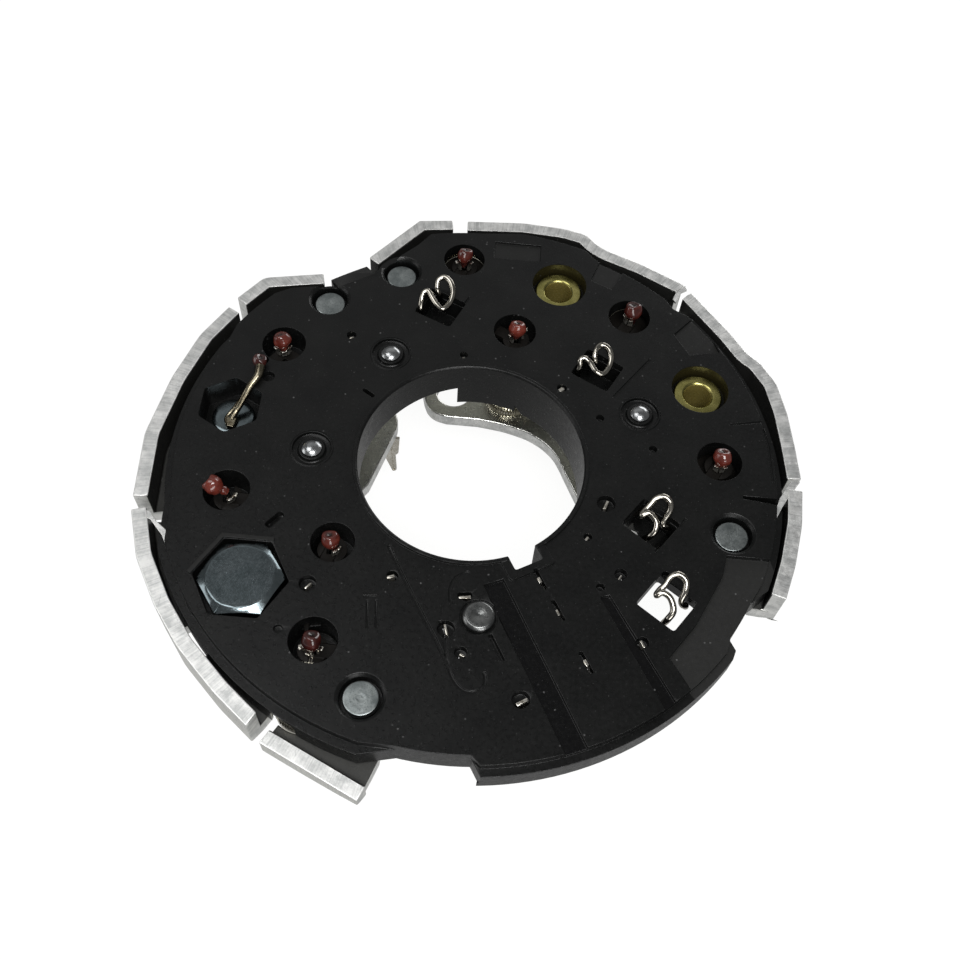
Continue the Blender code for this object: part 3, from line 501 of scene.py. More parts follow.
def black_moulding():
    """Satin black moulding with fine white specks, duller and greyer on the lowered flats."""
    f = Finish("black_moulding")
    t = f.tree
    wide = use(t, MOTTLE, Vector=f.mm, Size=9.0)
    fine = use(t, MOTTLE, Vector=f.mm, Size=0.9)
    flat = f.attribute("lowered_flat")
    channel = f.attribute("channel")
    base = blend(t, wide["Broad"], (0.0030, 0.0032, 0.0032), (0.0060, 0.0062, 0.0060))
    base = blend(t, flat, base, (0.026, 0.026, 0.025))
    # painted shade: the recessed channel floors a little darker
    base = blend(t, channel, base, (0.0025, 0.0025, 0.0027))
    dots = use(t, SPECKS, Vector=f.mm, Size=0.5, Share=0.26)["Mask"]
    dust = use(t, SPECKS, Vector=f.mm, Size=1.15, Share=0.07)["Mask"]
    rubs = use(t, SCRATCHES, Vector=f.mm, Length=2.2, Share=0.04)["Mask"]
    # painted reflection: golden tint on the pocket walls round the plated bushes
    base = blend(t, f.attribute("painted_gold_reflection"), base, (0.018, 0.015, 0.005))
    base = f.over(base, dots, 0.6, (0.05, 0.05, 0.05))
    base = f.over(base, dust, 0.75, (0.13, 0.13, 0.13))
    base = f.over(base, rubs, 0.25, (0.045, 0.045, 0.045))
    f.set("Base Color", base)
    rough = spread(t, fine["Broad"], 0.0, 1.0, 0.24, 0.38)
    rough = calc(t, "MULTIPLY_ADD", flat, 0.16, rough)
    f.set("Roughness", calc(t, "SUBTRACT", rough, calc(t, "MULTIPLY", channel, 0.06)))
    f.set("Specular IOR Level", 0.27)
    low = f.bump(wide["Fine"], 0.10, 0.35)
    f.bump(calc(t, "MULTIPLY_ADD", dots, 1.4, fine["Fine"]), 0.03, 0.5, low)
    return f.material


def aluminium(name, polish):
    """Stamped aluminium: drawn streaks, bright torn band on cut faces, painted edge highlights and board
    shade.
    """
    f = Finish(name, 1.0)
    t = f.tree
    wide = use(t, MOTTLE, Vector=f.mm, Size=5.0)
    fine = use(t, MOTTLE, Vector=f.mm, Size=1.2)
    marks = use(t, SCRATCHES, Vector=f.mm, Length=2.6, Share=0.09)["Mask"]
    streaks = noise_value(t, stretched(t, f.mm, (2.6, 2.6, 0.22)), 1.0, 4.0, 0.7)
    # tears follow the rim: way round the shaft axis at the rim's radius, and a squeezed height
    here = put(t, "ShaderNodeSeparateXYZ", {"Vector": f.mm}).outputs
    way_round = calc(t, "MULTIPLY", calc(t, "ARCTAN2", here[1], here[0]), 70.0)
    band = put(t, "ShaderNodeCombineXYZ", {"X": way_round, "Y": calc(t, "MULTIPLY", here[2], 0.3)}).outputs[0]
    tears = calc(t, "MULTIPLY", noise_value(t, band, 2.4, 5.0, 0.72), 0.8)
    torn = spread(t, calc(t, "ADD", noise_value(t, f.mm, 0.30, 4.0, 0.6), tears), 0.74, 1.04)
    edge = f.attribute("sheared")
    shade = f.attribute("painted_board_shade")
    base = blend(t, wide["Broad"], (0.80, 0.80, 0.755), (0.94, 0.94, 0.89))
    base = blend(t, spread(t, streaks, 0.40, 0.60), blend(t, 0.35, base, (0.50, 0.51, 0.50)), base)
    base = blend(t, edge, base, blend(t, torn, (0.62, 0.63, 0.62), (0.98, 0.98, 0.96)))
    # painted highlight: the upward-facing broken edges made nearly white
    base = blend(t, f.attribute("painted_edge_highlight"), base, (0.92, 0.92, 0.90))
    # painted shade: near black, not metallic and less specular where the board shades the sink
    base = blend(t, shade, base, (0.016, 0.016, 0.015))
    f.set("Base Color", f.over(base, marks, 0.4, (0.30, 0.30, 0.30)))
    f.set("Metallic", calc(t, "MULTIPLY_ADD", shade, -0.95, 1.0))
    f.set("Specular IOR Level", calc(t, "MULTIPLY_ADD", shade, -0.35, 0.5))
    rough = spread(t, fine["Broad"], 0.0, 1.0, 0.14 + polish, 0.30 + polish)
    rough = calc(t, "MULTIPLY_ADD", edge, 0.12, rough)
    f.set("Roughness", calc(t, "MULTIPLY_ADD", marks, 0.1, rough))
    low = f.bump(streaks, 0.08, 0.35)
    low = f.bump(wide["Fine"], 0.05, 0.3, low)
    f.bump(fine["Fine"], 0.02, 0.4, low)
    return f.material


def plated(name, dark, light, rough_low, rough_high, blotch=None, depth=0.008, rings=0.0, grit=0.4):
    """Plated or bare metal of the small parts: blotches, scratches, grit and turning marks."""
    f = Finish(name, 1.0)
    t = f.tree
    wide = use(t, MOTTLE, Vector=f.mm, Size=2.8)
    fine = use(t, MOTTLE, Vector=f.mm, Size=0.5)
    marks = use(t, SCRATCHES, Vector=f.mm, Length=2.4, Share=0.1)["Mask"]
    dots = use(t, SPECKS, Vector=f.mm, Size=0.55, Share=0.3)["Mask"]
    base = blend(t, wide["Broad"], dark, light)
    if blotch:
        base = blend(t, spread(t, wide["Fine"], 0.5, 0.72), base, blotch)
    worn = tuple(min(1.0, c * 1.5 + 0.08) for c in light)
    base = f.over(base, calc(t, "MAXIMUM", marks, dots), grit, worn)
    # painted shade: near black and not metallic on the strips' deep parts and the cups' tops under the windows
    painted_deep_shade = f.attribute("painted_deep_shade")
    lit = f.attribute("lit_bore")
    base = blend(t, lit, base, (0.24, 0.195, 0.055))
    f.set("Base Color", blend(t, painted_deep_shade, base, (0.008, 0.007, 0.006)))
    not_metal = calc(t, "ADD", painted_deep_shade, calc(t, "MULTIPLY", lit, 0.75))
    f.set("Metallic", calc(t, "MULTIPLY_ADD", not_metal, -0.95, 1.0))
    f.set("Specular IOR Level", calc(t, "MULTIPLY_ADD", painted_deep_shade, -0.35, 0.5))
    rough = spread(t, fine["Broad"], 0.0, 1.0, rough_low, rough_high)
    rough = calc(t, "MULTIPLY_ADD", painted_deep_shade, 0.2, rough)
    f.set("Roughness", calc(t, "MULTIPLY_ADD", marks, 0.08, rough))
    low = f.bump(fine["Fine"], depth, 0.6)
    if rings:
        here = put(t, "ShaderNodeUVMap", uv_map="turning").outputs[0]
        f.bump(use(t, TURNING, Vector=here, Pitch=rings)["Height"], 0.012, 0.5, low)
    return f.material


def lacquer():
    """Lacquer dipped over the welded tips: dark where it is thick, orange-pink where it is thin."""
    f = Finish("red_lacquer")
    t = f.tree
    tint = f.attribute("thin_coat")
    soft = use(t, MOTTLE, Vector=f.mm, Size=1.5)
    base = blend(t, tint, (0.020, 0.004, 0.004), (0.24, 0.045, 0.028))
    base = f.over(base, soft["Broad"], 0.6, blend(t, tint, (0.009, 0.003, 0.003), (0.09, 0.014, 0.010)))
    # painted shade: the dimple on top of the bead near black
    base = blend(t, f.attribute("dimple"), base, (0.012, 0.007, 0.006))
    f.set("Base Color", base)
    f.set("Roughness", spread(t, soft["Fine"], 0.2, 0.8, 0.10, 0.2))
    f.set("Specular IOR Level", 0.6)
    f.set("Coat Weight", 0.3)
    f.set("Coat Roughness", 0.04)
    f.bump(soft["Fine"], 0.02, 0.4)
    return f.material


def insulating_plastic():
    f = Finish("insulating_plastic")
    t = f.tree
    fine = use(t, MOTTLE, Vector=f.mm, Size=0.8)
    f.set("Base Color", blend(t, fine["Broad"], (0.022, 0.022, 0.023), (0.036, 0.036, 0.037)))
    f.set("Roughness", spread(t, fine["Fine"], 0.3, 0.7, 0.42, 0.56))
    f.bump(fine["Fine"], 0.03, 0.5)
    return f.material


BLACK = black_moulding()
OUTER_ALUMINIUM = aluminium("raw_aluminium_stamped", 0.12)
INNER_ALUMINIUM = aluminium("raw_aluminium_rolled", 0.0)
CUP_METAL = plated("plated_copper_cup", (0.50, 0.48, 0.40), (0.80, 0.77, 0.66), 0.14, 0.28,
                   blotch=(0.34, 0.28, 0.17), grit=0.1)
TINNED = plated("tinned_wire", (0.28, 0.265, 0.23), (0.50, 0.475, 0.42), 0.10, 0.18, depth=0.004, grit=0.06)
BROWN_TINNED = plated("tinned_wire_brown", (0.13, 0.112, 0.075), (0.30, 0.275, 0.205), 0.18, 0.30,
                      blotch=(0.10, 0.07, 0.035), depth=0.004, grit=0.03)
STRIP_METAL = plated("tinned_strip", (0.52, 0.50, 0.44), (0.88, 0.85, 0.78), 0.20, 0.34,
                     blotch=(0.40, 0.34, 0.24), grit=0.1)
ZINC = plated("zinc_plated_steel", (0.135, 0.165, 0.175), (0.215, 0.255, 0.27), 0.15, 0.24, depth=0.006,
              grit=0.3)
RIVET_STEEL = plated("rivet_steel", (0.20, 0.225, 0.225), (0.42, 0.455, 0.45), 0.30, 0.44,
                     blotch=(0.17, 0.19, 0.19), rings=1.1)
PIN_STEEL = plated("contact_pin_steel", (0.13, 0.135, 0.135), (0.24, 0.245, 0.24), 0.24, 0.36, rings=0.55)
DOME_STEEL = plated("dome_rivet_steel", (0.26, 0.27, 0.275), (0.50, 0.51, 0.515), 0.18, 0.30, grit=0.2)
CHROMATE = plated("yellow_chromate", (0.30, 0.275, 0.085), (0.52, 0.47, 0.17), 0.18, 0.32,
                  blotch=(0.22, 0.22, 0.07), grit=0.12)
LACQUER = lacquer()
INSULATION = insulating_plastic()


# Geometry nodes for what repeats round a piece.
def node_inputs(tree, inputs):
    """Sockets of a new geometry tree: what comes in and what goes out."""
    kinds = {"g": "NodeSocketGeometry", "i": "NodeSocketInt", "f": "NodeSocketFloat",
             "v": "NodeSocketVector", "m": "NodeSocketMaterial"}
    for label, kind in inputs:
        tree.interface.new_socket(label, in_out="INPUT", socket_type=kinds[kind])
    tree.interface.new_socket("Geometry", in_out="OUTPUT", socket_type="NodeSocketGeometry")
    return tree.nodes.new("NodeGroupInput").outputs, tree.nodes.new("NodeGroupOutput").inputs


def deliver(tree, given, shape, outlet):
    """Moves the shape to its middle, makes it plain mesh with the finish, and adds it to the piece."""
    moved = put(tree, "GeometryNodeTransform", {"Geometry": shape, "Translation": given["Middle"]})
    plain = put(tree, "GeometryNodeRealizeInstances", {"Geometry": moved.outputs[0]})
    painted = put(tree, "GeometryNodeSetMaterial", {"Geometry": plain.outputs[0], "Material": given["Finish"]})
    both = tree.nodes.new("GeometryNodeJoinGeometry")
    tree.links.new(painted.outputs[0], both.inputs[0])
    tree.links.new(given["Geometry"], both.inputs[0])
    tree.links.new(both.outputs[0], outlet["Geometry"])


def knurl_tree():
    """Upright ridges round a wall."""
    t = bpy.data.node_groups.new("knurled_wall", "GeometryNodeTree")
    g, o = node_inputs(t, [("Geometry", "g"), ("Teeth", "i"), ("Radius", "f"), ("Height", "f"),
                           ("Ridge", "f"), ("Middle", "v"), ("Finish", "m")])
    ring = put(t, "GeometryNodeMeshCircle", {"Vertices": g["Teeth"], "Radius": g["Radius"]})
    ridge = put(t, "GeometryNodeMeshCone", {"Vertices": 4, "Radius Top": g["Ridge"],
                                            "Radius Bottom": g["Ridge"], "Depth": g["Height"]})
    turn = calc(t, "MULTIPLY", put(t, "GeometryNodeInputIndex").outputs[0],
                calc(t, "DIVIDE", math.tau, g["Teeth"]))
    spin = put(t, "ShaderNodeCombineXYZ", {"Z": turn})
    face = put(t, "FunctionNodeEulerToRotation", {0: spin.outputs[0]})
    row = put(t, "GeometryNodeInstanceOnPoints", {"Points": ring.outputs[0], "Instance": ridge.outputs[0],
                                                  "Rotation": face.outputs[0]})
    deliver(t, g, row.outputs[0], o)
    return t


def thread_tree():
    """A thread wound round a shank."""
    t = bpy.data.node_groups.new("stud_thread", "GeometryNodeTree")
    g, o = node_inputs(t, [("Geometry", "g"), ("Turns", "f"), ("Radius", "f"), ("Height", "f"),
                           ("Ridge", "f"), ("Middle", "v"), ("Finish", "m")])
    spiral = put(t, "GeometryNodeCurveSpiral", {"Resolution": 28, "Rotations": g["Turns"],
                                                "Start Radius": g["Radius"], "End Radius": g["Radius"],
                                                "Height": g["Height"]})
    profile = put(t, "GeometryNodeCurvePrimitiveCircle", {"Resolution": 4, "Radius": g["Ridge"]})
    wound = put(t, "GeometryNodeCurveToMesh", {"Curve": spiral.outputs[0],
                                               "Profile Curve": profile.outputs[0], "Fill Caps": True})
    deliver(t, g, wound.outputs[0], o)
    return t


KNURL = knurl_tree()
THREAD = thread_tree()


def add_by_nodes(obj, tree, finish, **values):
    """Adds what the tree makes to the piece, with the tree's inputs set by name."""
    mod = obj.modifiers.new(tree.name, "NODES")
    mod.node_group = tree
    values["Finish"] = finish
    for item in tree.interface.items_tree:
        if item.in_out == "INPUT" and item.name in values:
            mod[item.identifier] = values[item.name]
    return bake(obj)


# Sizes and places that the pieces share, as in the CAD.
HOLE_R = 25.0
KEY_TURN = -60.4
BOARD_BOT, SKIRT_BOT = -2.95, -7.6
SINK_TOP, SINK_BOT = -8.0, -11.6
INNER_TOP, INNER_BOT = -25.5, -29.3
GAP = 0.3
# the board's edge: radius, angle from, angle to, width of the ledge below it
EDGE = [
    (67.0, -33.3, -25.0, 0.0), (67.6, -21.0, 43.5, 1.7), (66.5, 46.7, 46.7, 0.0), (67.3, 49.5, 66.5, 0.0),
    (69.3, 70.0, 84.0, 0.0), (67.9, 92.0, 103.0, 0.0), (64.6, 106.5, 106.5, 0.6), (62.3, 110.5, 110.5, 1.0),
    (60.0, 114.5, 114.5, 1.2), (59.0, 117.8, 117.8, 0.6), (58.8, 118.8, 127.6, 4.2), (59.0, 128.2, 128.2, 0.9),
    (60.2, 130.0, 130.0, 0.6), (62.0, 132.5, 132.5, 0.6), (64.9, 136.5, 136.5, 0.0),
    (66.2, 140.0, 151.0, 0.0), (64.9, 156.0, 194.0, 1.7), (67.4, 203.0, 256.0, 1.9),
    (66.2, 262.0, 274.5, 0.0), (68.2, 276.0, 324.0, 1.7), (67.6, 325.7, 325.7, 1.7),
]
# window x, y, then lead x, y, and whether the cup sits in the inner heat sink
DIODES = {
    "1": (-46.0, 27.4, -46.4, 27.8, True), "2": (-6.3, 58.5, -6.2, 59.0, False),
    "3": (-51.6, -13.0, -51.7, -13.0, True), "4": (-27.3, -23.3, -27.6, -23.4, True),
    "5": (-28.0, -45.5, -28.2, -46.2, False), "6": (7.5, 37.3, 8.0, 37.4, True),
    "7": (34.8, 44.7, 35.6, 46.0, False), "8": (55.2, 5.3, 55.7, 5.9, False),
}
CRANK_CUP = (-28.8, -55.6)
# windows of the wire clips: x, y and turn
CLIPS = [("1", -10.8, 42.6, -24.0), ("2", 27.4, 27.8, -28.0), ("3", 39.7, -12.2, -36.5),
         ("4", 42.8, -30.7, -36.0)]
BUSHES = [("1", 17.6, 53.0), ("2", 51.4, 24.9)]
STUD_B = (-44.8, -33.3)
STUD_W = (-55.1, 9.2)
# flat rivets: x, y, top, and whether they reach through the inner heat sink
RIVETS = [("1", -37.5, 42.3, -1.9, True), ("2", -21.3, 52.8, -1.9, True), ("3", -17.1, -56.4, -0.7, False),
          ("4", 57.4, -12.8, -1.4, False)]
DOMES = [("1", -21.0, 27.3), ("2", -35.2, -0.7), ("3", 37.3, 16.3)]
POST = (-50.1, 22.3)
PIN = (4.5, -37.5)
# round pits in the board's top: x, y, radius
PITS = [
    (-30.8, 31.8, 1.1), (-4.0, 28.8, 0.9), (19.3, 21.7, 1.1), (28.3, 14.2, 0.9), (30.0, -8.2, 2.0),
    (26.2, -16.8, 0.9), (33.3, -25.0, 1.3), (37.8, -40.0, 1.3), (29.1, -28.4, 0.9), (42.7, -24.3, 0.9),
    (1.6, -33.2, 1.0), (-1.9, -40.7, 1.8), (14.0, -54.2, 1.8), (1.5, -45.5, 1.3), (-14.0, -30.0, 1.2),
    (-31.0, -33.3, 1.8), (40.3, 7.0, 0.9),
]
# slits there: x, y, length, width, direction
SLITS = [
    (1.3, -32.9, 3.0, 1.3, 8.0),
    (16.5, -27.8, 5.0, 0.9, -60.0), (20.5, -34.5, 5.0, 0.9, -60.0), (26.5, -45.3, 5.0, 0.9, -60.0),
    (8.5, -43.8, 6.2, 0.9, -61.0), (-24.7, 15.6, 3.2, 0.9, -34.0), (-40.2, -19.2, 4.6, 1.6, 52.0),
]
PIT_DEEP = 1.8


# Terminal board.
ABOVE = 4.0
LEDGE_TOP = -1.9
# the dark window floors stand in for the shade under the board
WINDOW_FLOOR = -7.0
BORE_CORE = circle(0, 0, HOLE_R - 1.0, 60)
RAMP = [polar(58.4, 118.2), polar(62.9, 118.9), polar(62.8, 127.5), polar(58.4, 128.0)]
CHANNELS = [
    [(4.9, -30.2), (8.9, -28.4), (27.6, -63.1), (30.0, -74.0), (20, -74.0), (23.6, -65.3)],
    [(29.0, -30.6), (31.0, -30.0), (44.4, -52.0), (50, -62.0), (45, -64.0), (42.2, -53.6)],
]
LOW_FLAT = [(43.2, -42.6), (48.8, -35.0), (52.3, -28.1), (54.8, -23.2), (55.8, -18.4), (66.0, -18.4),
            (76, -30), (64, -50), (50.0, -53.0)]
FLATS = [
    [(1, 60.0), (12.5, 60.0), (12.5, 65.4), (1, 65.4)],
    [(25.3, 55.3), (30.5, 53.0), (33.6, 59.6), (27.4, 61.6)],
    [(45.6, 40.5), (49.2, 34.7), (56.4, 36.2), (54.0, 41.8), (50.2, 45.9)],
]
# dark floor under clip window 3, a stand-in for shade, from its middle: the corner it leaves open shows the
# ground
PART_FLOOR = [(-3.0, 6.4), (-2.2, 2.2), (-1.0, -0.6), (1.2, -6.9), (7.2, -2.0), (1.6, 5.9)]


def window_r(n):
    """Radius of a diode's window."""
    return 4.65 if n == "4" else 5.0


def board_edge(ledge):
    """Outline of the board at its top, where ledge is 0, or of the ledge below it, where it is 1."""
    points = []
    for r, a0, a1, width in EDGE:
        points += [polar(r + ledge * width, a0)] if a0 == a1 else arc(r + ledge * width, a0, a1)
    return points


def groove(path, width=0.45, depth=0.3):
    return prism("groove", [ribbon(path, width)], -depth, 2.0)


def board_plate():
    """Plate with its windows, and the skirt, collar, lip, key wall and ramp that belong to it."""
    top, low = board_edge(0.0), board_edge(1.0)
    windows = [circle(x, y, window_r(n)) for n, (x, y, _, _, _) in DIODES.items()]
    windows += [rounded(rectangle(x, y, 9.6, 8.4, turn), 0.7) for _, x, y, turn in CLIPS]
    body = prism("board", [top, BORE_CORE] + windows, BOARD_BOT, 0.0)
    key_wall = rectangle(*polar(HOLE_R + 2.6, KEY_TURN), 5.6, 10.4, KEY_TURN)
    for name, outlines, z0, z1 in [
            ("skirt", [low, inset(top, 3.2)], SKIRT_BOT, LEDGE_TOP),
            ("deep_skirt", [arc(69.5, -84.5, -36.5) + arc(65.6, -36.5, -83.0)], -9.0, -6.8),
            ("near_skirt", [arc(65.8, -99.5, -82.5) + arc(63.4, -82.5, -99.5)], -9.0, -6.8),
            ("collar", [circle(0, 0, HOLE_R + 2.0, 120), BORE_CORE], -13.3, -0.6),
            ("lip", [circle(0, 0, HOLE_R + 1.1, 120), BORE_CORE], -1.2, 0.55),
            ("key_wall", [rounded(key_wall, 0.8)], -12.9, 0.5),
            ("ramp", [RAMP], -2.2, 0.0)]:
        combine(body, prism(name, outlines, z0, z1))
    return body


def window_walls(body):
    """Dark walls down round the windows, floors in some that stand in for shade, and passages for the strips.
    """
    parts = []
    for n, (x, y, lx, ly, inner) in DIODES.items():
        r = window_r(n)
        end = SKIRT_BOT if inner or n == "5" else -4.5
        wall = [(r + 0.9, -2.0), (r + 0.9, end), (r - 0.25, end), (r, -2.0)]
        parts.append(turned("tube", wall, x, y, closed=True))
        if end == SKIRT_BOT:
            # a dark floor that stands in for the shade under the window
            floor = [(r + 0.2, WINDOW_FLOOR), (r + 0.2, end), (1.3, end), (1.3, WINDOW_FLOOR)]
            parts.append(turned("floor", floor, lx, ly, closed=True))
    for n, x, y, turn in CLIPS:
        if n != "4":
            wall = [rounded(rectangle(x, y, w, h, turn), 0.7) for w, h in ((11.2, 10.0), (9.3, 8.1))]
            parts.append(prism("tube", wall, -7.4, -2.0))
            # a dark floor that stands in for the shade under the clip window
            floor = [(x + a, y + b) for a, b in PART_FLOOR] if n == "3" else rectangle(x, y, 10.4, 9.2, turn)
            parts.append(prism("floor", [floor], -7.45, WINDOW_FLOOR))
    for part in parts:
        combine(body, part)
    # tops of crossing passages differ a little, so that no two of their faces lie in one plane
    cut(body, [prism("passage", [ribbon([CRANK_CUP, DIODES["5"][2:4]], 2.3)], -4.9, BOARD_BOT - 0.001)])
    for path, leads in STRIPS.values():
        cut(body, [prism("passage", [ribbon(path, 3.8)], -4.4, BOARD_BOT - 0.002)])
        for n in leads:
            cut(body, [drum("passage", *DIODES[n][2:4], 3.9, -4.38, BOARD_BOT - 0.003)])


def bosses(body):
    """Bosses round what passes through the board, raised edges round pockets, and ribs."""
    rounds = [(x, y, 5.0 if n == "1" else 6.0) for n, x, y, _, _ in RIVETS]
    rounds += [(x, y, 8.3) for _, x, y in BUSHES] + [(x, y, 3.0) for _, x, y in DOMES]
    rounds += [(*STUD_B, 11.8), (*STUD_W, 9.2), (*PIN, 3.2)]
    for x, y, r in rounds:
        combine(body, drum("boss", x, y, r, SKIRT_BOT + 0.02 * (r > 9), -1.2))
    combine(body, prism("edge", [ribbon(hexagon(*STUD_B, 18.6)[1:4], 1.0)], -0.4, 0.35))
    for _, x, y in DOMES:
        ring = [(4.3, -0.5), (4.3, 0.14), (4.75, 0.14), (4.75, -0.5)]
        combine(body, turned("edge", ring, x, y, closed=True))
    for a in (-80.0, -68.0, -55.0, -44.0):
        combine(body, prism("rib", [rectangle(*polar(61.5, a), 9.0, 1.2, a)], -6.6, -2.5))


def shaft_hole(body):
    """Bore with its keyway and chamfer, and the collar cut back on its far left side."""
    bore = drum("bore", 0, 0, HOLE_R, -20, 5, 120)
    keyway = rectangle(*polar(HOLE_R + 0.4, KEY_TURN), 6.2, 6.4, KEY_TURN)
    combine(bore, prism("keyway", [rounded(keyway, 0.5)], -19, ABOVE))
    cut(body, [bore])
    chamfer = [(HOLE_R - 0.4, 0.9), (HOLE_R - 0.4, -0.25), (HOLE_R + 0.75, 0.9)]
    cut(body, [turned("lip_edge", chamfer, steps=120, closed=True)])
    cut(body, [prism("short_side", [[(-40, -40), (-4.9, -40), (-4.9, 40), (-40, 40)]], -20, -9.3)])
    cut(body, [hull("rise", [(x, y, z) for x, z in ((-20, -9.31), (-4.9, -7.62), (-20, -20), (-4.9, -20))
                             for y in (5, 40)])])
    cut(body, [hull("notch", [polar(r, a) + (z,) for r in (23.5, 28.5)
                              for a, z in ((68.9, -11.2), (68.9, -14.0), (63.0, -14.0))])])


def recesses(body):
    """Seats of the rivets, bushes and studs, pits, slits and rooms for the cups below."""
    seats = []
    for _, x, y, z, _ in RIVETS:
        seat = z - 1.9
        seats.append(turned("rivet_seat", [(0, ABOVE), (5.0, ABOVE), (5.0, 0.0), (4.3, -0.7), (4.3, seat),
                                           (2.3, seat), (2.3, -9), (0, -9)], x, y))
    for _, x, y in BUSHES:
        seats.append(turned("bush_seat", [(0, ABOVE), (6.6, ABOVE), (6.6, 0.2), (6.4, -3.9), (4.8, -3.9),
                                          (4.8, -9), (0, -9)], x, y))
    for _, x, y in DOMES:
        ring = [(2.9, ABOVE), (4.3, ABOVE), (4.3, -0.7), (3.3, -0.9), (2.9, -0.6)]
        seats += [turned("ring", ring, x, y, closed=True), drum("dome_hole", x, y, 1.8, -9, ABOVE, 24)]
    seats.append(turned("pin_seat", [(0, ABOVE), (3.9, ABOVE), (3.9, -0.35), (2.2, -0.35), (2.2, -9),
                                     (0, -9)], *PIN))
    cut(body, seats)
    pocket = prism("pocket", [rounded(hexagon(*STUD_B, 17.3), 0.5)], -4.7, ABOVE)
    combine(pocket, drum("stud_hole", *STUD_B, 5.35, -9, 0))
    w_pocket = prism("pocket", [rounded(hexagon(*STUD_W, 13.0, 30.0), 0.8)], -6.5, ABOVE)
    combine(w_pocket, drum("stud_hole", *STUD_W, 2.8, -9, 0))
    cut(body, [pocket, w_pocket, drum("post_hole", *POST, 1.35, -5, ABOVE, 24)])
    cut(body, [drum("pit", x, y, r, -PIT_DEEP, ABOVE, 24) for x, y, r in PITS])
    slits = [rounded(rectangle(x, y, length, width, turn), width * 0.45, 3)
             for x, y, length, width, turn in SLITS]
    cut(body, [prism("slit", [outline], -PIT_DEEP, ABOVE) for outline in slits])
    cut(body, [prism("way", [rectangle(x, y, length + 0.3, width + 0.3, turn)], -4, -1.5)
               for _, x, y, length, width, turn, _ in SPOTS])
    rooms = [DIODES["2"][2:4], DIODES["7"][2:4], CRANK_CUP]
    cut(body, [drum("room", x, y, 7.2, -9.5, BOARD_BOT) for x, y in rooms])


def lowered_areas(body):
    """Channels, flats and the ramp's slope, and the engraved lines and dots."""
    lowered = [prism("channel", [outline], -deep, ABOVE) for outline, deep in zip(CHANNELS, (1.0, 0.8))]
    lowered.append(groove([(-15.5, -23), (-13.6, -26.7), (-9.4, -34), (-3.7, -43.3), (-0.6, -49.2)], 0.7, 0.6))
    lowered.append(prism("low_flat", [LOW_FLAT], -1.1, ABOVE))
    lowered += [prism("flat", [outline], -0.6, ABOVE) for outline in FLATS]
    lowered.append(prism("wedge", [[(60, -3.2), (72, -3.2), (72, -5.4), (60, -3.9)]], -20, ABOVE))
    cut(body, lowered)
    high, low = (RAMP[3], RAMP[0]), (polar(66.0, 127.5), polar(66.2, 118.9))
    slope = [(*at, 0.0) for at in high] + [(*at, -3.3) for at in low] + [(*at, ABOVE) for at in high + low]
    cut(body, [hull("slope", slope)])
    hook = [(-3.2, -39.0), (-1.6, -45.0), (-0.3, -49.8), (2.0, -52.9), (4.8, -53.5), (6.8, -51.6),
            (6.4, -49.2)]
    bow = [(1.7, -27.5), (-0.9, -29.2), (-1.8, -32.0), (-1.4, -35.1)]
    cut(body, [
        groove(smooth_path(hook, 3), 0.6), groove(smooth_path(bow, 3), 0.7),
        groove([(-18.4, -35.9), (-17.7, -42.0)], 0.4), groove([(-16.6, -35.7), (-15.9, -41.8)], 0.4),
        groove([(-19.4, -35.1), (-16.7, -34.8)], 0.4),
        drum("dot", -35.3, -43.8, 0.9, -0.8, ABOVE, 24), drum("dot", -48.0, 17.8, 1.4, -1.6, ABOVE, 24),
        groove([(-4.0, 46.6), (-7.6, 38.6)]), groove([(31.2, 20.4), (39.9, 32.4)]),
        groove([(40.6, -19.0), (47.4, -10.3)]),
        groove([(57.9, 15.6), (65.3, 17.0), (66.4, 10.6), (66.9, 1.2)], 0.4, 0.25)])


def terminal_board():
    body = board_plate()
    window_walls(body)
    bosses(body)
    shaft_hole(body)
    recesses(body)
    lowered_areas(body)
    merge_flats(body)
    seal(ease(seal(body), 0.14))

    slope = [polar(58, 128.2), polar(66, 128.2), polar(66, 118), polar(58, 118)]

    def flat(c, normal):
        """How matt and grey a lowered flat is."""
        if normal.z < 0.6:
            return 0.0
        at = (c.x, c.y)
        if c.z < -0.3 and inside(LOW_FLAT, *at):
            return 0.6
        if c.z > 0.3 and math.dist(at, STUD_B) < 11.5:
            return 0.35
        if c.z < -0.3 and any(inside(points, *at) for points in FLATS):
            return 0.3
        if -2.2 < c.z < -0.05 and inside(slope, *at):
            return 0.3
        return 0.0

    # painted shade: marks the channel floors, which the finish darkens
    def channel(c, normal):
        low = normal.z > 0.9 and -1.2 < c.z < -0.5
        return float(low and any(inside(outline, c.x, c.y) for outline in CHANNELS))

    def painted_gold_reflection(c, normal):
        """Painted reflection: pocket walls round the plated bushes, tinted gold as if they mirrored them."""
        return float(abs(normal.z) < 0.5 and any(math.dist((c.x, c.y), (x, y)) < 6.9 for _, x, y in BUSHES))

    paint(body, "lowered_flat", flat)
    paint(body, "channel", channel)
    paint(body, "painted_gold_reflection", painted_gold_reflection)
    show(body, "terminal_board", BLACK)


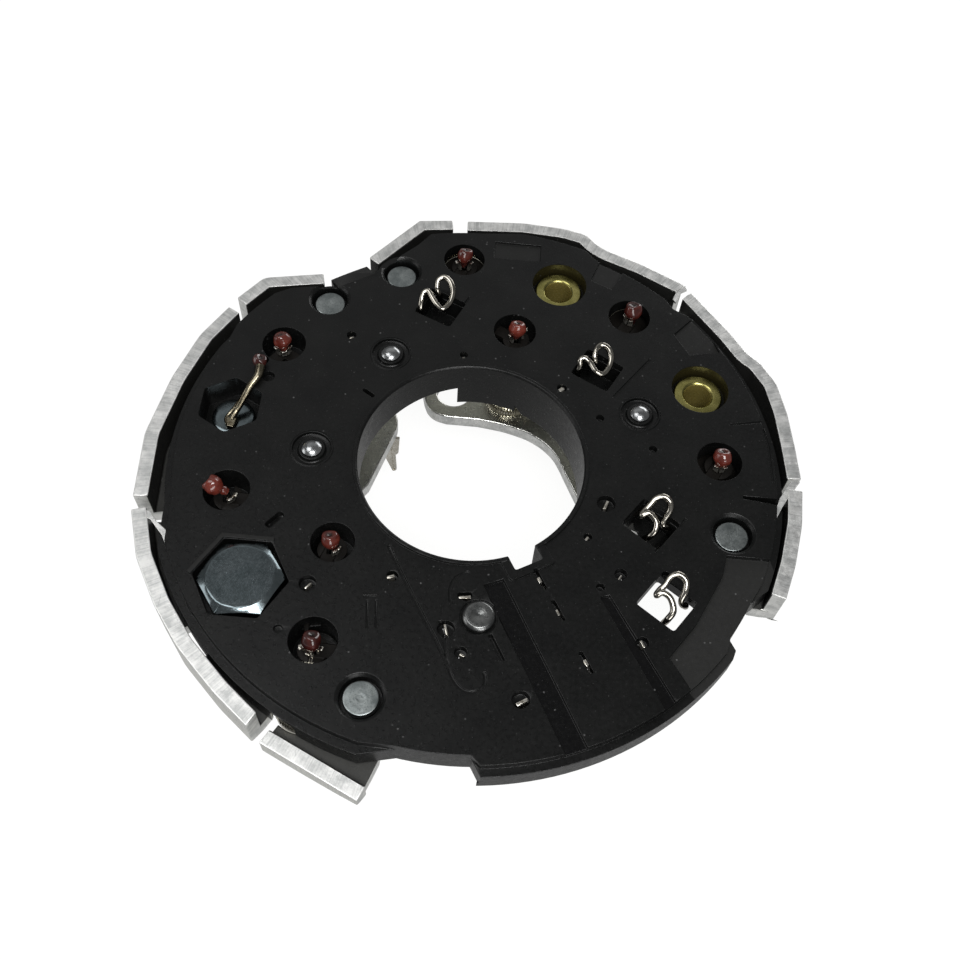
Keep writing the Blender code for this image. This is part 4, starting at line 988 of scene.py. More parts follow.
# Heat sinks.
# segments of the outer sink's rim: angle and radius of each knot, then the segment's top
RIM = [
    ([(-21.8, 73.2), (-15.0, 73.1), (-7.0, 73.3), (-0.2, 73.5)], -0.5),
    ([(2.2, 73.5), (9.0, 73.6), (16.0, 74.5), (22.5, 75.4), (27.6, 74.6), (30.3, 73.2), (36.0, 73.2),
      (47.4, 74.2)], -0.5),
    ([(49.6, 74.8), (58.7, 73.2), (66.0, 72.3), (68.6, 72.9), (71.4, 74.9), (76.0, 74.7), (84.0, 73.6),
      (95.2, 72.4)], -0.5),
    ([(98.2, 72.7), (104.8, 73.3), (117.6, 64.3)], -0.5),
    ([(128.6, 64.5), (138.8, 72.2), (145.8, 72.0)], -0.5),
    ([(148.4, 71.6), (156.7, 71.9), (167.5, 71.6), (180.0, 72.4), (192.8, 73.0)], -0.5),
    ([(195.4, 73.4), (204.4, 73.7), (213.7, 73.4), (222.0, 73.5), (231.7, 73.7), (239.4, 74.5)], -0.5),
    ([(240.9, 74.7), (258.2, 76.6)], -5.5),
]
# slots between them: angle and width
SLOTS = [(1.0, 2.2), (48.5, 2.4), (96.7, 3.4), (147.1, 2.6), (194.1, 2.6), (240.2, 2.6)]
# the segment that runs in to the wide ledge keeps its corners, because rounding them notches its top
SHARP_SEGMENT = 3
CUP_HOLE_R = 6.7
# torn curls that the notching punch pushed inward at three of the slots
CURLS = [
    [(73.2, 2.2), (71.2, 2.2), (69.4, -0.6), (68.3, -2.6), (67.0, -6.2), (67.2, -7.9), (68.7, -4.9),
     (71.2, -0.6)],
    [(48.8, 57.0), (46.9, 55.6), (45.6, 52.2), (46.4, 51.2), (47.8, 54.6), (49.3, 55.6)],
    [(-69.3, -19.0), (-66.9, -19.3), (-64.9, -21.6), (-62.5, -23.4), (-61.5, -25.6), (-59.2, -29.8),
     (-54.7, -38.4), (-54.8, -39.0), (-59.9, -30.6), (-62.9, -25.0), (-66.2, -21.4), (-69.3, -20.0)],
]


def soft_corners(points):
    """A rim segment with each bend rounded a little."""
    out = [points[0]]
    for a, b, c in zip(points, points[1:], points[2:]):
        a, b, c = Vector(a), Vector(b), Vector(c)
        out += bend(b + (a - b).normalized() * 1.3, b, b + (c - b).normalized() * 1.3, (0.0, 0.33, 0.67, 1.0))
    return out + [points[-1]]


def outer_heat_sink():
    edge = []
    for knots, _ in RIM:
        edge += inset([polar(r, a) for a, r in knots], 1.0)
    edge += [(-12.6, -66.0), (-12.2, -58.0)]
    edge += arc(29.6, 249.0, -14.0)
    edge += [(38.0, -10.2), (62.4, -26.4)]
    holes = []
    for n, (_, _, lx, ly, in_inner) in DIODES.items():
        x, y = CRANK_CUP if n == "5" else (lx, ly)
        holes.append(circle(x, y, 3.4 if in_inner else CUP_HOLE_R))
    holes += [circle(x, y, 4.8) for _, x, y in BUSHES]
    holes += [circle(x, y, 2.3, 32) for _, x, y, _, _ in RIVETS]
    holes += [circle(x, y, 1.8, 28) for _, x, y in DOMES]
    holes += [circle(*STUD_B, 8.4), circle(*STUD_W, 3.7)]
    holes.append(rounded(rectangle(*polar(69.2, 220.2), 2.0, 7.8, 220.2), 0.6))
    plate = prism("plate", [edge] + holes, SINK_BOT, SINK_TOP)
    for i, (knots, z) in enumerate(RIM):
        outer = [polar(r, a) for a, r in knots]
        if i != SHARP_SEGMENT:
            outer = soft_corners(outer)
        combine(plate, prism("rim", [outer + offset(outer, 3.2)[::-1]], SINK_BOT + 0.5, z - 0.001 * i))
    bowl = [(0, 6), (84, 6), (84, -5.4)]
    bowl += [(68.5 + 9.5 * math.cos(math.radians(a)), -5.5 - 6.2 * math.sin(math.radians(a)))
             for a in range(0, 91, 10)]
    bowl += [(0, -11.7)]
    combine(plate, turned("bowl", bowl, steps=144), "INTERSECT")
    cut(plate, [prism("slot", [rectangle(*polar(75.0, a), 17.4, w, a)], -20, 5) for a, w in SLOTS])
    merge_flats(plate)
    ease(plate, 0.28)
    for outline in CURLS:
        join(plate, ease(prism("curl", [outline], -1.35, -0.75), 0.14))

    def sheared(c, normal):
        """Cut faces: the top of the rim, and the ends at its slots."""
        if normal.z > 0.8 and c.z > -6.5:
            return 1.0
        radial = Vector((c.x, c.y)).normalized().dot(Vector((normal.x, normal.y)))
        return 0.8 if abs(radial) < 0.5 and abs(normal.z) < 0.5 else 0.0

    def painted_board_shade(c, normal):
        """Painted shade: the inside of the rim and the floor under the board, near black where the black board
        shades them.
        """
        toward = -(c.x * normal.x + c.y * normal.y) / math.hypot(c.x, c.y)
        if toward > 0.3 and -11.0 < c.z < -1.0 and normal.z > -0.2:
            return 1.0
        return 0.95 if normal.z > 0.7 and c.z < -6.8 else 0.0

    paint(plate, "sheared", sheared)
    # painted highlight on the rim's upward-facing broken edges
    paint(plate, "painted_edge_highlight", lambda c, normal: float(0.2 < normal.z < 0.96 and c.z > -6.2))
    paint(plate, "painted_board_shade", painted_board_shade)
    show(plate, "outer_heat_sink", OUTER_ALUMINIUM, 30.0)


def inner_heat_sink():
    edge = arc(64.0, 8.0, 250.0)
    edge += arc(26.8, 250.0, 172.0)
    corner = [(-24.6, 6.5), (-20.6, 20.4), (-19.6, 24.6), (-20.4, 28.4), (-24.0, 35.0), (-20.0, 40.5),
              (-15.4, 38.6), (-13.6, 33.4), (-12.4, 30.9), (-10.4, 29.3), (-7.6, 28.5)]
    edge += smooth_path(corner, 4)
    bore = [(0.4, 28.5), (6.9, 27.6), (12.2, 26.1), (14.8, 24.9), (17.5, 23.1), (20.2, 20.3), (22.0, 17.0),
            (22.9, 15.0), (25.0, 10.6), (26.6, 7.2), (28.0, 4.0)]
    edge += smooth_path(bore, 4)
    holes = [circle(-6.4, 36.4, 4.3)]
    holes += [circle(lx, ly, CUP_HOLE_R) for _, _, lx, ly, inner in DIODES.values() if inner]
    holes += [circle(x, y, 7.0) for _, x, y in BUSHES]
    holes += [circle(x, y, 2.3, 32) for _, x, y, _, both in RIVETS if both]
    holes += [circle(*STUD_B, 5.35), circle(*STUD_W, 2.9)]
    plate = prism("plate", [edge] + holes, INNER_BOT, INNER_TOP)
    merge_flats(plate)
    ease(plate, 0.45, 3)
    paint(plate, "sheared", lambda c, normal: 0.9 * (abs(normal.z) < 0.4))
    # painted highlight on the plate's upward-facing broken edges
    paint(plate, "painted_edge_highlight", lambda c, normal: float(0.3 < normal.z < 0.96))
    show(plate, "inner_heat_sink", INNER_ALUMINIUM, 30.0)


# Diodes.
# bead of each: radius, height of its middle, share of thin orange coat, direction of the dimple, lean and
# direction of the lean
BEADS = {
    "1": (2.1, 1.25, 0.45, 130.0, 6.0, 130.0), "2": (1.9, 1.2, 0.35, 80.0, 4.0, 0.0),
    "3": (2.1, 1.2, 0.62, 120.0, -49.0, 0.0), "4": (1.9, 1.1, 0.40, 100.0, 5.0, 200.0),
    "5": (2.0, 1.0, 0.12, 90.0, 8.0, 40.0), "6": (2.0, 1.3, 0.72, 90.0, 3.0, 300.0),
    "7": (2.2, 1.2, 0.16, 90.0, 4.0, 180.0), "8": (2.1, 1.3, 0.55, 110.0, 6.0, 60.0),
}


def bead_shape(name, r, seed, dimple, neck):
    """A drop of lacquer over a weld: lumpy, with a dimple on top and a neck running down the wire."""
    profile = []
    for i in range(19):
        a = math.radians(90.0 - 8.6 * i)
        profile.append((r * math.cos(a) * (0.97 if a < 0 else 1.0), r * 1.02 * math.sin(a)))
    profile[0] = (0.0, r * 1.02)
    profile += [(r * 0.50, -r * 1.15), (r * 0.44, -r - neck * 0.6), (r * 0.40, -r - neck), (0.0, -r - neck)]
    bead = turned(name, profile, steps=36)
    toward = Vector((*polar(0.42, dimple), 0.9)).normalized()
    tag = bead.data.attributes.new("dimple", "FLOAT", "POINT")
    for i, v in enumerate(bead.data.vertices):
        p = v.co / MM
        lump = noise.noise(p * 0.45 + Vector((seed * 7.3, 0, seed))) * 0.20 * r
        fine = noise.noise(p * 1.3 + Vector((0, seed * 3.1, 0))) * 0.02 * r
        d = p.normalized() if p.length else Vector((0, 0, 1))
        off = d.angle(toward) if p.z > -r * 0.4 else 3.0
        pit = math.exp(-(off / 0.42) ** 2)
        rise = 0.12 * math.exp(-((off - 0.75) / 0.22) ** 2)
        fade = 1.0 if p.z > -r else 0.3
        v.co += d * (lump + fine - 0.34 * r * pit + rise * r) * fade * MM
        tag.data[i].value = min(1.0, pit * 1.4)
    return bead


def diode_cup(n, cx, cy, top, base):
    """Knurled cup whose top round the lead is painted shade, near black and not metallic."""
    cup = turned("cup", [
        (0, top - 1.7), (1.05, top - 1.7), (1.05, top + 0.3), (1.5, top + 0.25), (2.3, top - 0.35),
        (3.6, top - 0.6), (5.0, top - 0.6), (5.2, top - 0.1), (5.35, top), (5.95, top), (6.12, top - 0.08),
        (6.2, top - 0.3), (6.2, base + 0.4), (6.1, base + 0.12), (5.9, base), (3.0, base), (2.8, base + 0.25),
        (0, base + 0.25)], cx, cy, 64)
    add_by_nodes(cup, KNURL, CUP_METAL, Teeth=58, Radius=6.16 * MM, Height=(top - base - 1.1) * MM,
                 Ridge=0.24 * MM, Middle=(cx * MM, cy * MM, (top + base) / 2 * MM - 0.15 * MM))
    # painted shade: the cup's top near black
    paint(cup, "painted_deep_shade", lambda c, _: float(c.z > top - 0.75 and math.hypot(c.x - cx, c.y - cy) < 5.1))
    show(cup, "diode_%s_cup" % n, CUP_METAL, 40.0)


def diode_lead(n, cx, cy, top):
    """Wire from the cup up to its weld: straight, but cranked at diode 5 and bent over at diode 3."""
    lx, ly = DIODES[n][2:4]
    tip = BEADS[n][1] - 0.3
    foot = top - 1.4
    path = [(lx, ly, foot), (lx, ly, foot * 0.4), (lx, ly, tip)]
    if n == "5":
        run = top + 0.95
        path = smooth_path([(cx, cy, foot), (cx, cy, run - 0.6), (cx + 0.02, cy + 0.6, run),
                            (lx, ly - 1.0, run), (lx, ly - 0.1, run + 0.8), (lx, ly, -1.0), (lx, ly, tip)], 5)
    elif n == "3":
        path = smooth_path([(lx, ly, foot), (lx, ly, -12.0), (lx, ly, -4.0), (lx - 0.3, ly, -1.9),
                            (lx - 1.0, ly + 0.1, -0.5), (lx - 2.1, ly + 0.2, 0.6)], 5)
    show(wire("lead", path, 0.75, 4), "diode_%s_lead" % n, TINNED, 40.0)


def lacquer_bead(n):
    lx, ly = DIODES[n][2:4]
    r, height, tint, dimple, lean, lean_to = BEADS[n]
    if n == "3":
        bead = bead_shape("bead", r, 3, dimple, 1.2)
        at, axis = (lx - 2.6, ly + 0.2, 0.9), "Y"
    else:
        bead = bead_shape("bead", r, int(n), dimple, 1.7)
        at, axis = (lx, ly, min(height, 3.0 - r * 1.16)), Vector((*polar(1.0, lean_to + 90.0), 0.0))
    place = Matrix.Translation([v * MM for v in at])
    bead.data.transform(place @ Matrix.Rotation(math.radians(lean), 4, axis))

    def thin_coat(c, normal):
        return max(0.0, min(1.0, tint + 0.22 * noise.noise(c * 0.8) - 0.12 * (c.z < 0)))

    paint(bead, "thin_coat", thin_coat)
    show(bead, "lacquer_bead_" + n, LACQUER, 60.0)


def diode(n):
    _, _, lx, ly, in_inner = DIODES[n]
    face, base = (INNER_TOP, INNER_BOT) if in_inner else (SINK_TOP, SINK_BOT)
    cx, cy = CRANK_CUP if n == "5" else (lx, ly)
    top = face + 3.3
    diode_cup(n, cx, cy, top, base)
    diode_lead(n, cx, cy, top)
    lacquer_bead(n)


# Phase strips.
# route of each strip under the board, and the diodes whose leads it holds
STRIPS = {
    "1": ([(-6.2, 59.0), (-8.8, 52.0), (-5.6, 49.6), (-2.6, 43.0), (8.0, 37.4)], "26"),
    "2": ([(35.6, 46.0), (30.6, 37.4), (22.4, 32.4), (18.6, 24.6)] + arc(29.6, 50.0, 150.0, step=5.0)
          + [(-38.0, 22.4), (-46.4, 27.8), (-50.1, 22.3), (-50.4, 20.6)], "71"),
    "3": ([(55.7, 5.9), (50.0, -3.4), (42.6, -4.4), (35.4, -7.4)] + arc(32.6, -25.0, -95.0, step=5.0)
          + arc(29.2, -108.0, -148.0, step=5.0) + [(-39.0, -13.4), (-51.7, -13.0)], "83"),
    "4": ([(-27.6, -23.4), (-30.9, -33.3), (-28.2, -46.2), (-12.0, -46.6), (14.0, -54.2), (29.0, -48.4),
           (38.6, -40.4), (41.6, -34.6)], "45"),
}
# spots where the strips come up to the surface: strip, x, y, length, width, turn, top
SPOTS = [
    ("2", -30.8, 31.8, 1.0, 0.5, 20.0, -0.9), ("2", 19.3, 21.7, 1.3, 1.0, 50.0, -0.5),
    ("2", -4.0, 28.8, 0.7, 0.5, 0.0, -1.1), ("3", 30.0, -8.4, 2.3, 0.6, 70.0, -0.3),
    ("3", 26.1, -16.9, 1.1, 0.6, 60.0, -0.6), ("3", 16.4, -27.9, 1.3, 0.7, -60.0, -0.1),
    ("3", -14.3, -30.0, 1.6, 0.7, 20.0, -0.3), ("3", 1.3, -33.3, 2.5, 0.6, 8.0, -0.1),
    ("4", 14.2, -54.6, 2.5, 0.7, 32.0, -0.1), ("4", 37.9, -40.1, 1.7, 0.5, -60.0, -0.4),
    ("4", 26.5, -45.3, 1.4, 0.7, -60.0, -0.1), ("3", 20.4, -35.0, 1.4, 0.7, -60.0, -0.1),
    ("4", -1.9, -40.7, 2.4, 0.5, -72.0, -0.3), ("4", 1.8, -45.8, 1.1, 0.5, -20.0, -0.5),
    ("3", 33.2, -25.5, 1.5, 0.4, 60.0, -0.6), ("4", -31.0, -33.3, 1.8, 0.5, 50.0, -1.1),
]
# directions in which each diode's fork prongs stand beside its lead
PRONGS = {"1": (228, 335, 285), "2": (215, 325), "3": (300, 345), "4": (300, 330), "5": (200, 255, 340),
          "6": (222, 20), "7": (205, 262), "8": (235, 290)}


def tongue(lx, ly, direction, reach, top):
    """One prong of a fork: rises from the strip beside the lead and leans outward."""
    out = Vector(polar(1.0, direction))
    along = Vector(polar(1.0, direction + 90.0))
    line = smooth_path([(1.5, -3.9), (1.45, -2.6), (1.5, -1.6), (1.7, top - 0.8), (2.0, top - 0.1),
                        (reach, top)], 4)
    left, right = offset(line, 0.28), offset(line, -0.28)
    bm = bmesh.new()
    sections = []
    for (d0, z0), (d1, z1) in zip(left, right):
        half = 0.62 - 0.18 * (len(sections) / (len(line) - 1)) ** 3
        ring = []
        for d, z, h in ((d0, z0, half), (d0, z0, -half), (d1, z1, -half), (d1, z1, half)):
            p = out * d + along * h
            ring.append(bm.verts.new(((lx + p.x) * MM, (ly + p.y) * MM, z * MM)))
        sections.append(ring)
    for a, b in zip(sections, sections[1:]):
        for i in range(4):
            bm.faces.new((a[i], a[(i + 1) % 4], b[(i + 1) % 4], b[i]))
    bm.faces.new(sections[0][::-1])
    bm.faces.new(sections[-1])
    return ease(from_bmesh("tongue", bm), 0.1)


def phase_strip(n):
    path, leads = STRIPS[n]
    strip = prism("strip", [ribbon(path, 3.0)], -4.05, -3.25)
    slots = []
    for name in leads:
        lx, ly = DIODES[name][2:4]
        combine(strip, drum("pad", lx, ly, 3.2, -4.04, -3.26))
        slots.append(prism("slot", [rectangle(*polar(2.6, 95.0, lx, ly), 7.4, 2.2, 95.0)], -6, -2))
    cut(strip, slots)
    merge_flats(strip)
    seal(ease(seal(strip), 0.12))
    for name in leads:
        for i, direction in enumerate(PRONGS[name]):
            reach = 2.3 + 0.4 * random.Random(int(name) * 3 + i).random()
            top = -0.9 if name in "35" or i == 2 else -0.4
            join(strip, tongue(*DIODES[name][2:4], direction, reach, top))
    for name, x, y, length, width, turn, top in SPOTS:
        if name == n:
            join(strip, ease(prism("spot", [rectangle(x, y, length, width, turn)], -3.3, top), 0.12))
    # painted shade: darker the deeper the strip lies under the board
    paint(strip, "painted_deep_shade", lambda c, _: 1.0 if c.z < -2.9 else 0.85 if c.z < -1.7 else 0.0)
    show(strip, "phase_strip_" + n, STRIP_METAL)


# Stator wire clips, each bent by hand: x, y and height along the wire.
CLIP_PATHS = {
    "1": [(-15.4, 42.1, -2.85), (-15.6, 42.5, -1.2), (-15.5, 43.7, 0.3), (-15.2, 45.2, 1.5),
          (-14.1, 45.7, 1.9), (-13.0, 44.3, 1.4), (-11.6, 42.5, 0.8), (-10.1, 41.7, 0.5), (-8.6, 43.4, 0.9),
          (-8.1, 45.8, 1.8), (-8.8, 48.2, 2.6), (-10.4, 49.6, 2.9), (-11.9, 48.9, 2.4), (-12.0, 47.2, 1.1),
          (-11.4, 46.6, -0.6), (-11.1, 46.4, -2.6)],
    "2": [(23.2, 27.2, -2.85), (22.9, 27.6, -1.2), (23.3, 28.2, 0.3), (23.1, 28.9, 1.5), (24.0, 29.5, 1.9),
          (25.5, 28.6, 1.4), (27.0, 26.6, 0.8), (28.7, 26.4, 0.5), (30.0, 28.3, 0.9), (30.3, 30.6, 1.8),
          (29.4, 32.4, 2.7), (27.7, 32.9, 2.9), (26.6, 31.4, 2.4), (26.6, 29.8, 1.2), (27.4, 29.4, -0.6),
          (27.8, 29.4, -2.6)],
    "3": [(38.6, -14.6, -2.85), (39.6, -14.6, -1.4), (40.6, -13.8, -0.2), (40.6, -12.0, 0.9),
          (39.0, -10.4, 1.4), (37.6, -10.9, 0.9), (38.3, -9.6, 0.9), (39.4, -8.3, 1.6), (40.4, -7.2, 2.3),
          (42.0, -6.8, 2.7), (43.4, -7.7, 2.2), (43.6, -9.2, 1.0), (42.6, -10.9, -0.4), (42.6, -11.8, -1.2),
          (43.6, -11.6, -1.9), (44.0, -11.6, -2.6)],
    "4": [(42.6, -34.0, -2.85), (43.3, -33.6, -1.4), (44.2, -32.2, -0.2), (43.4, -30.0, 0.9),
          (41.7, -29.1, 1.4), (40.6, -29.5, 0.8), (41.3, -28.3, 0.9), (42.2, -27.4, 1.4),
          (43.2, -25.9, 2.3), (44.7, -25.2, 2.7), (46.4, -26.2, 2.2), (46.5, -28.2, 1.0),
          (45.9, -29.6, -0.2), (46.3, -30.2, -1.2), (47.0, -30.0, -1.8), (47.2, -29.8, -2.6)],
}


def wire_clip(n):
    """Bent wire that pinches in and out a little along its length."""
    points = smooth_path(CLIP_PATHS[n], 6)
    clip = wire("clip", points, 0.72, 4, lambda t: 0.97 + 0.05 * math.sin(t * 21.0))
    show(clip, "stator_clip_" + n, TINNED, 40.0)


# Studs and fasteners.
def hex_piece(name, outlines, z0, z1, cone, steps):
    """Hexagon of the output stud's head or nut, its corners turned off by a cone."""
    piece = prism(name, outlines, z0, z1)
    return combine(piece, turned("cone", cone, *STUD_B, steps), "INTERSECT")


def thread(stud, at, turns, r, length, ridge, z0):
    """Winds a thread of that length upward from z0."""
    add_by_nodes(stud, THREAD, ZINC, Turns=turns, Radius=r * MM, Height=length * MM, Ridge=ridge * MM,
                 Middle=(at[0] * MM, at[1] * MM, z0 * MM))


def b_plus_stud():
    x, y = STUD_B
    head = hex_piece("bolt", [hexagon(x, y, 16.0, 6.0)], -4.4, 0.6,
                     [(0, 0.61), (6.9, 0.61), (7.2, 0.5), (9.5, -0.8), (9.5, -5.4), (0, -5.4)], 120)
    shank = turned("shank", [(0, -3.9), (4.95, -3.9), (4.95, -14.0), (4.62, -14.6), (4.62, -51.0),
                             (3.95, -52.0), (0, -52.0)], x, y, 60)
    combine(head, shank)
    merge_flats(head)
    ease(head, 0.14)
    thread(head, STUD_B, 28.0, 4.62, 35.4, 0.42, -50.4)
    show(centre_marks(head, x, y), "b_plus_bolt", ZINC, 34.0)
    nut = hex_piece("nut", [hexagon(x, y, 16.0, 12.0), circle(x, y, 5.25)], -35.6, -29.6,
                    [(0, -29.5), (7.6, -29.5), (9.5, -30.7), (9.5, -34.5), (7.6, -35.7), (0, -35.7)], 96)
    merge_flats(nut)
    ease(nut, 0.12)
    show(centre_marks(nut, x, y), "b_plus_nut", ZINC, 34.0)
    sleeve = turned("sleeve", [
        (8.0, -7.9), (8.0, -11.9), (10.2, -11.9), (10.6, -12.3), (10.6, -17.6), (10.2, -18.0), (10.2, -19.2),
        (10.6, -19.6), (10.6, -24.8), (10.2, -25.2), (5.25, -25.2), (5.25, -7.9)], x, y, 60, closed=True)
    show(ease(sleeve, 0.15), "b_plus_insulator", INSULATION)


def w_stud():
    stud = turned("stud", [
        (0, -4.7), (3.6, -4.72), (4.5, -4.8), (4.8, -5.05), (4.85, -5.4), (4.75, -6.1), (4.5, -6.2),
        (2.5, -6.2), (2.5, -14.0), (2.3, -14.3), (2.3, -37.4), (1.9, -38.0), (0, -38.0)], *STUD_W, 56)
    thread(stud, STUD_W, 27.0, 2.3, 21.6, 0.26, -36.6)
    show(centre_marks(stud, *STUD_W), "w_stud", ZINC)


def w_lead():
    """Lead of the signal stud: a thick end welded at its post, strands crimped flat on the stud's head."""
    path = [(-49.9, 19.2, 1.75), (-50.0, 16.8, 1.3), (-51.5, 14.3, 0.2), (-53.0, 11.7, -1.6),
            (-54.2, 9.6, -3.1), (-55.0, 7.6, -3.75)]
    lead = wire("lead", smooth_path(path, 6), 1.05, 4, lambda t: 1.05 - 0.45 * t)
    strand = [(-52.2, 13.4, -0.2), (-54.0, 11.2, -2.2), (-55.7, 9.2, -3.6), (-56.4, 7.8, -3.95),
              (-56.0, 6.6, -4.0)]
    join(lead, wire("strand", smooth_path(strand, 5), 0.42, 3))
    crimp = hull("crimp", [(-56.6, 8.4, -4.15), (-53.6, 8.0, -4.15), (-56.0, 5.6, -4.25), (-54.2, 5.4, -4.25),
                           (-56.4, 8.2, -3.4), (-53.9, 7.8, -3.4), (-55.8, 5.8, -3.7), (-54.4, 5.6, -3.7)])
    join(lead, ease(crimp, 0.15))
    show(lead, "w_lead", BROWN_TINNED, 45.0)


def w_post():
    """Post that the signal stud's lead is welded to, under a drop of lacquer."""
    drop = bead_shape("drop", 1.65, 11, 40.0, 1.0)
    drop.data.transform(Matrix.Translation((-50.4 * MM, 20.8 * MM, 1.25 * MM)))
    path = [(*POST, -2.8), (*POST, -0.6), (-50.2, 21.9, 0.2), (-50.4, 21.3, 0.9)]
    post = join(wire("post", smooth_path(path, 4), 0.75, 4), drop)
    show(paint(post, "thin_coat", lambda c, normal: 0.14), "w_post", LACQUER, 60.0)


def bushes():
    for n, x, y in BUSHES:
        bush = turned("bush", [
            (5.3, -2.5), (5.6, -2.62), (5.7, -2.9), (5.7, -3.6), (4.5, -3.6), (4.5, -28.9), (4.2, -29.6),
            (3.35, -29.6), (3.15, -29.3), (3.15, -3.0), (3.25, -2.75), (3.75, -2.42), (4.1, -2.5)],
            x, y, 64, closed=True)
        paint(bush, "lit_bore", lambda c, _: float(math.hypot(c.x - x, c.y - y) < 3.2 and c.z < -2.8))
        centre_marks(ease(bush, 0.08, 1), x, y)
        show(bush, "mounting_bush_" + n, CHROMATE, 40.0)
        sleeve = turned("sleeve", [
            (8.2, -11.9), (8.2, -16.5), (7.9, -16.8), (7.9, -20.2), (8.2, -20.5), (8.2, -25.2), (6.6, -25.2),
            (6.6, -29.3), (4.8, -29.3), (4.8, -11.9)], x, y, 60, closed=True)
        show(ease(sleeve, 0.15), "bush_insulator_" + n, INSULATION)


def rivets():
    for n, x, y, z, both in RIVETS:
        tail = (INNER_BOT if both else SINK_BOT) - GAP
        seat = z - 1.6
        rivet = turned("rivet", [
            (0, z - 0.03), (0.9, z - 0.03), (1.1, z - 0.01), (3.3, z), (3.5, z - 0.1), (3.6, z - 0.35),
            (3.6, seat), (2.0, seat), (2.0, tail), (3.3, tail - 0.05), (3.6, tail - 0.45), (3.4, tail - 1.0),
            (2.6, tail - 1.4), (1.0, tail - 1.4), (0, tail - 1.1)], x, y, 56)
        show(centre_marks(rivet, x, y), "rivet_" + n, RIVET_STEEL)
        if both:
            wall = [(5.2, -11.9), (5.2, -25.2), (2.3, -25.2), (2.3, -11.9)]
            spacer = turned("spacer", wall, x, y, 56, closed=True)
            show(ease(spacer, 0.3), "rivet_spacer_" + n, INSULATION)


def dome_rivets():
    tail = SINK_BOT - GAP
    for n, x, y in DOMES:
        dome = turned("dome", [
            (0, 1.22), (0.55, 1.2), (1.05, 1.08), (1.5, 0.88), (1.9, 0.6), (2.15, 0.35), (2.2, 0.3),
            (1.5, 0.3), (1.5, tail), (2.4, tail - 0.05), (2.6, tail - 0.4), (2.3, tail - 0.95),
            (0, tail - 1.1)], x, y, 40)
        show(centre_marks(dome, x, y), "dome_rivet_" + n, DOME_STEEL)


def contact_pin():
    pin = turned("pin", [
        (0, 0.95), (0.45, 0.98), (0.7, 1.12), (2.6, 1.15), (2.85, 1.1), (3.3, 0.62), (3.4, 0.4), (3.4, -0.05),
        (1.9, -0.05), (1.9, -9.0), (1.4, -9.5), (0, -9.5)], *PIN, 56)
    show(centre_marks(pin, *PIN), "contact_pin", PIN_STEEL)


def blade_terminal():
    top = INNER_BOT - GAP
    outline = rounded([(-33.0, 21.4), (-20.6, 21.4), (-20.4, 25.8), (-33.0, 25.8)], 0.8)
    foot = prism("foot", [outline], top - 0.9, top)
    side = [(-25.4, 0.0), (-19.0, 0.0), (-19.4, -6.4), (-19.6, -6.9), (-20.15, -7.6), (-20.2, -8.2),
            (-20.05, -14.9), (-20.3, -15.2), (-21.0, -15.4), (-21.25, -15.1)]
    blade = prism("blade", [side], -0.45, 0.45)
    cut(blade, [prism("fold", [[(-21.3, 0.0), (-20.9, 0.0), (-20.5, -15.0), (-20.9, -15.2)]], 0.1, 0.6)])
    upright = Matrix.Rotation(math.radians(90), 4, "X")
    blade.data.transform(Matrix.Translation((0, 23.6 * MM, (top - 0.2) * MM)) @ upright)
    combine(foot, blade)
    merge_flats(foot)
    show(ease(foot, 0.15), "blade_terminal", STRIP_METAL)


# Stage.
FLOOR_Z = -0.0533
AIM = Vector((0.0, 0.0, -0.01))
# softboxes: name, place, width and height, power (metres and watts)
SOFTBOXES = [
    ("front_softbox", (0.10, -0.42, 0.72), (0.42, 0.26), 4.6),
    ("low_front_softbox", (0.25, -0.72, 0.30), (0.4, 0.25), 1.6),
    ("top_softbox", (-0.32, -0.02, 0.72), (0.4, 0.4), 1.5),
    ("left_softbox", (-0.75, -0.1, 0.22), (0.4, 0.3), 0.7),
    ("high_back_softbox", (-0.1, 0.56, 0.54), (0.8, 0.45), 0.3),
    ("back_softbox", (0.35, 0.7, 0.16), (0.5, 0.22), 1.2),
]


def seen_or_not(tree, strength, seen_strength):
    """One strength for what the part receives, another for what the camera sees."""
    seen = put(tree, "ShaderNodeLightPath").outputs["Is Camera Ray"]
    return spread(tree, seen, 0.0, 1.0, strength, seen_strength)


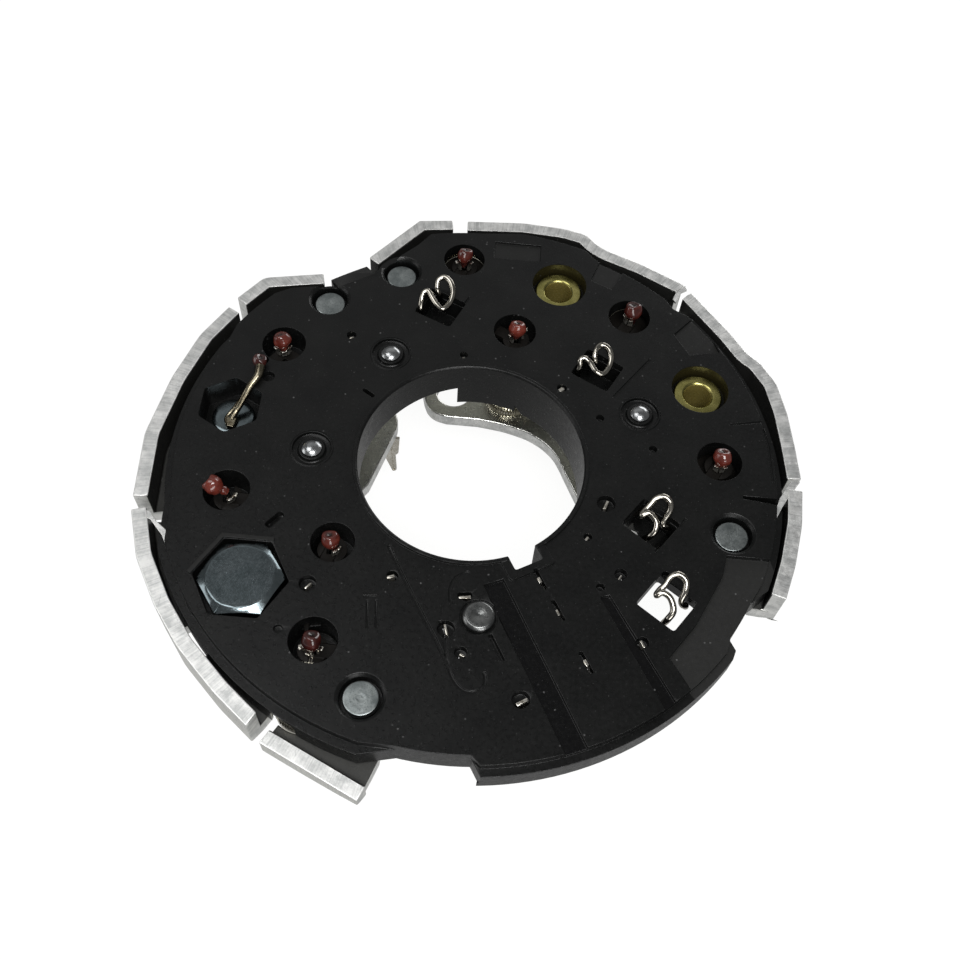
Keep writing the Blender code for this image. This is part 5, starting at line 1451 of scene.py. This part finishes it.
def studio_floor():
    bpy.ops.mesh.primitive_plane_add(size=4.0, location=(0, 0.2, FLOOR_Z))
    floor = bpy.context.object
    floor.name = "studio_floor"
    white = bpy.data.materials.new("studio_white")
    white.use_nodes = True
    t = white.node_tree
    t.nodes.clear()
    diffuse = put(t, "ShaderNodeBsdfDiffuse", {"Color": (0.86, 0.86, 0.855, 1.0)})
    glow = put(t, "ShaderNodeEmission", {"Color": (1.0, 1.0, 0.995, 1.0),
                                         "Strength": seen_or_not(t, 0.40, 1.12)})
    both = put(t, "ShaderNodeMixShader", {0: 0.80, 1: diffuse.outputs[0], 2: glow.outputs[0]})
    put(t, "ShaderNodeOutputMaterial", {0: both.outputs[0]})
    floor.data.materials.append(white)


def studio_world():
    world = bpy.data.worlds.new("studio")
    bpy.context.scene.world = world
    world.use_nodes = True
    background = world.node_tree.nodes["Background"]
    background.inputs["Color"].default_value = (1.0, 1.0, 1.0, 1.0)
    feed(world.node_tree, background.inputs["Strength"], seen_or_not(world.node_tree, 0.16, 1.0))


def softbox(name, at, size, power):
    light = bpy.data.lights.new(name, "AREA")
    light.shape = "RECTANGLE"
    light.size, light.size_y = size
    light.energy = power
    lamp = bpy.data.objects.new(name, light)
    bpy.context.scene.collection.objects.link(lamp)
    toward = AIM - Vector(at)
    lamp.matrix_world = Matrix.Translation(at) @ toward.to_track_quat("-Z", "Y").to_matrix().to_4x4()


def photo_camera():
    """Camera as solved from the photograph's shaft hole and board edges."""
    eye = bpy.data.cameras.new("photo_camera")
    eye.lens = 41.25
    eye.sensor_width = 36.0
    eye.clip_start = 0.01
    camera = bpy.data.objects.new("photo_camera", eye)
    bpy.context.scene.collection.objects.link(camera)
    right, up, back = (0.9962, 0.0743, 0.0455), (-0.0872, 0.8494, 0.5205), (0.0, -0.5225, 0.8526)
    place = (0.00232, -0.13034, 0.20448)
    camera.matrix_world = Matrix([*zip(right, up, back, place), (0, 0, 0, 1)])
    bpy.context.scene.camera = camera
    bpy.context.scene.view_settings.view_transform = "Standard"


terminal_board()
outer_heat_sink()
inner_heat_sink()
for number in DIODES:
    diode(number)
for number in STRIPS:
    phase_strip(number)
for number in CLIP_PATHS:
    wire_clip(number)
b_plus_stud()
w_stud()
w_lead()
w_post()
bushes()
rivets()
dome_rivets()
contact_pin()
blade_terminal()
studio_floor()
studio_world()
for box in SOFTBOXES:
    softbox(*box)
photo_camera()
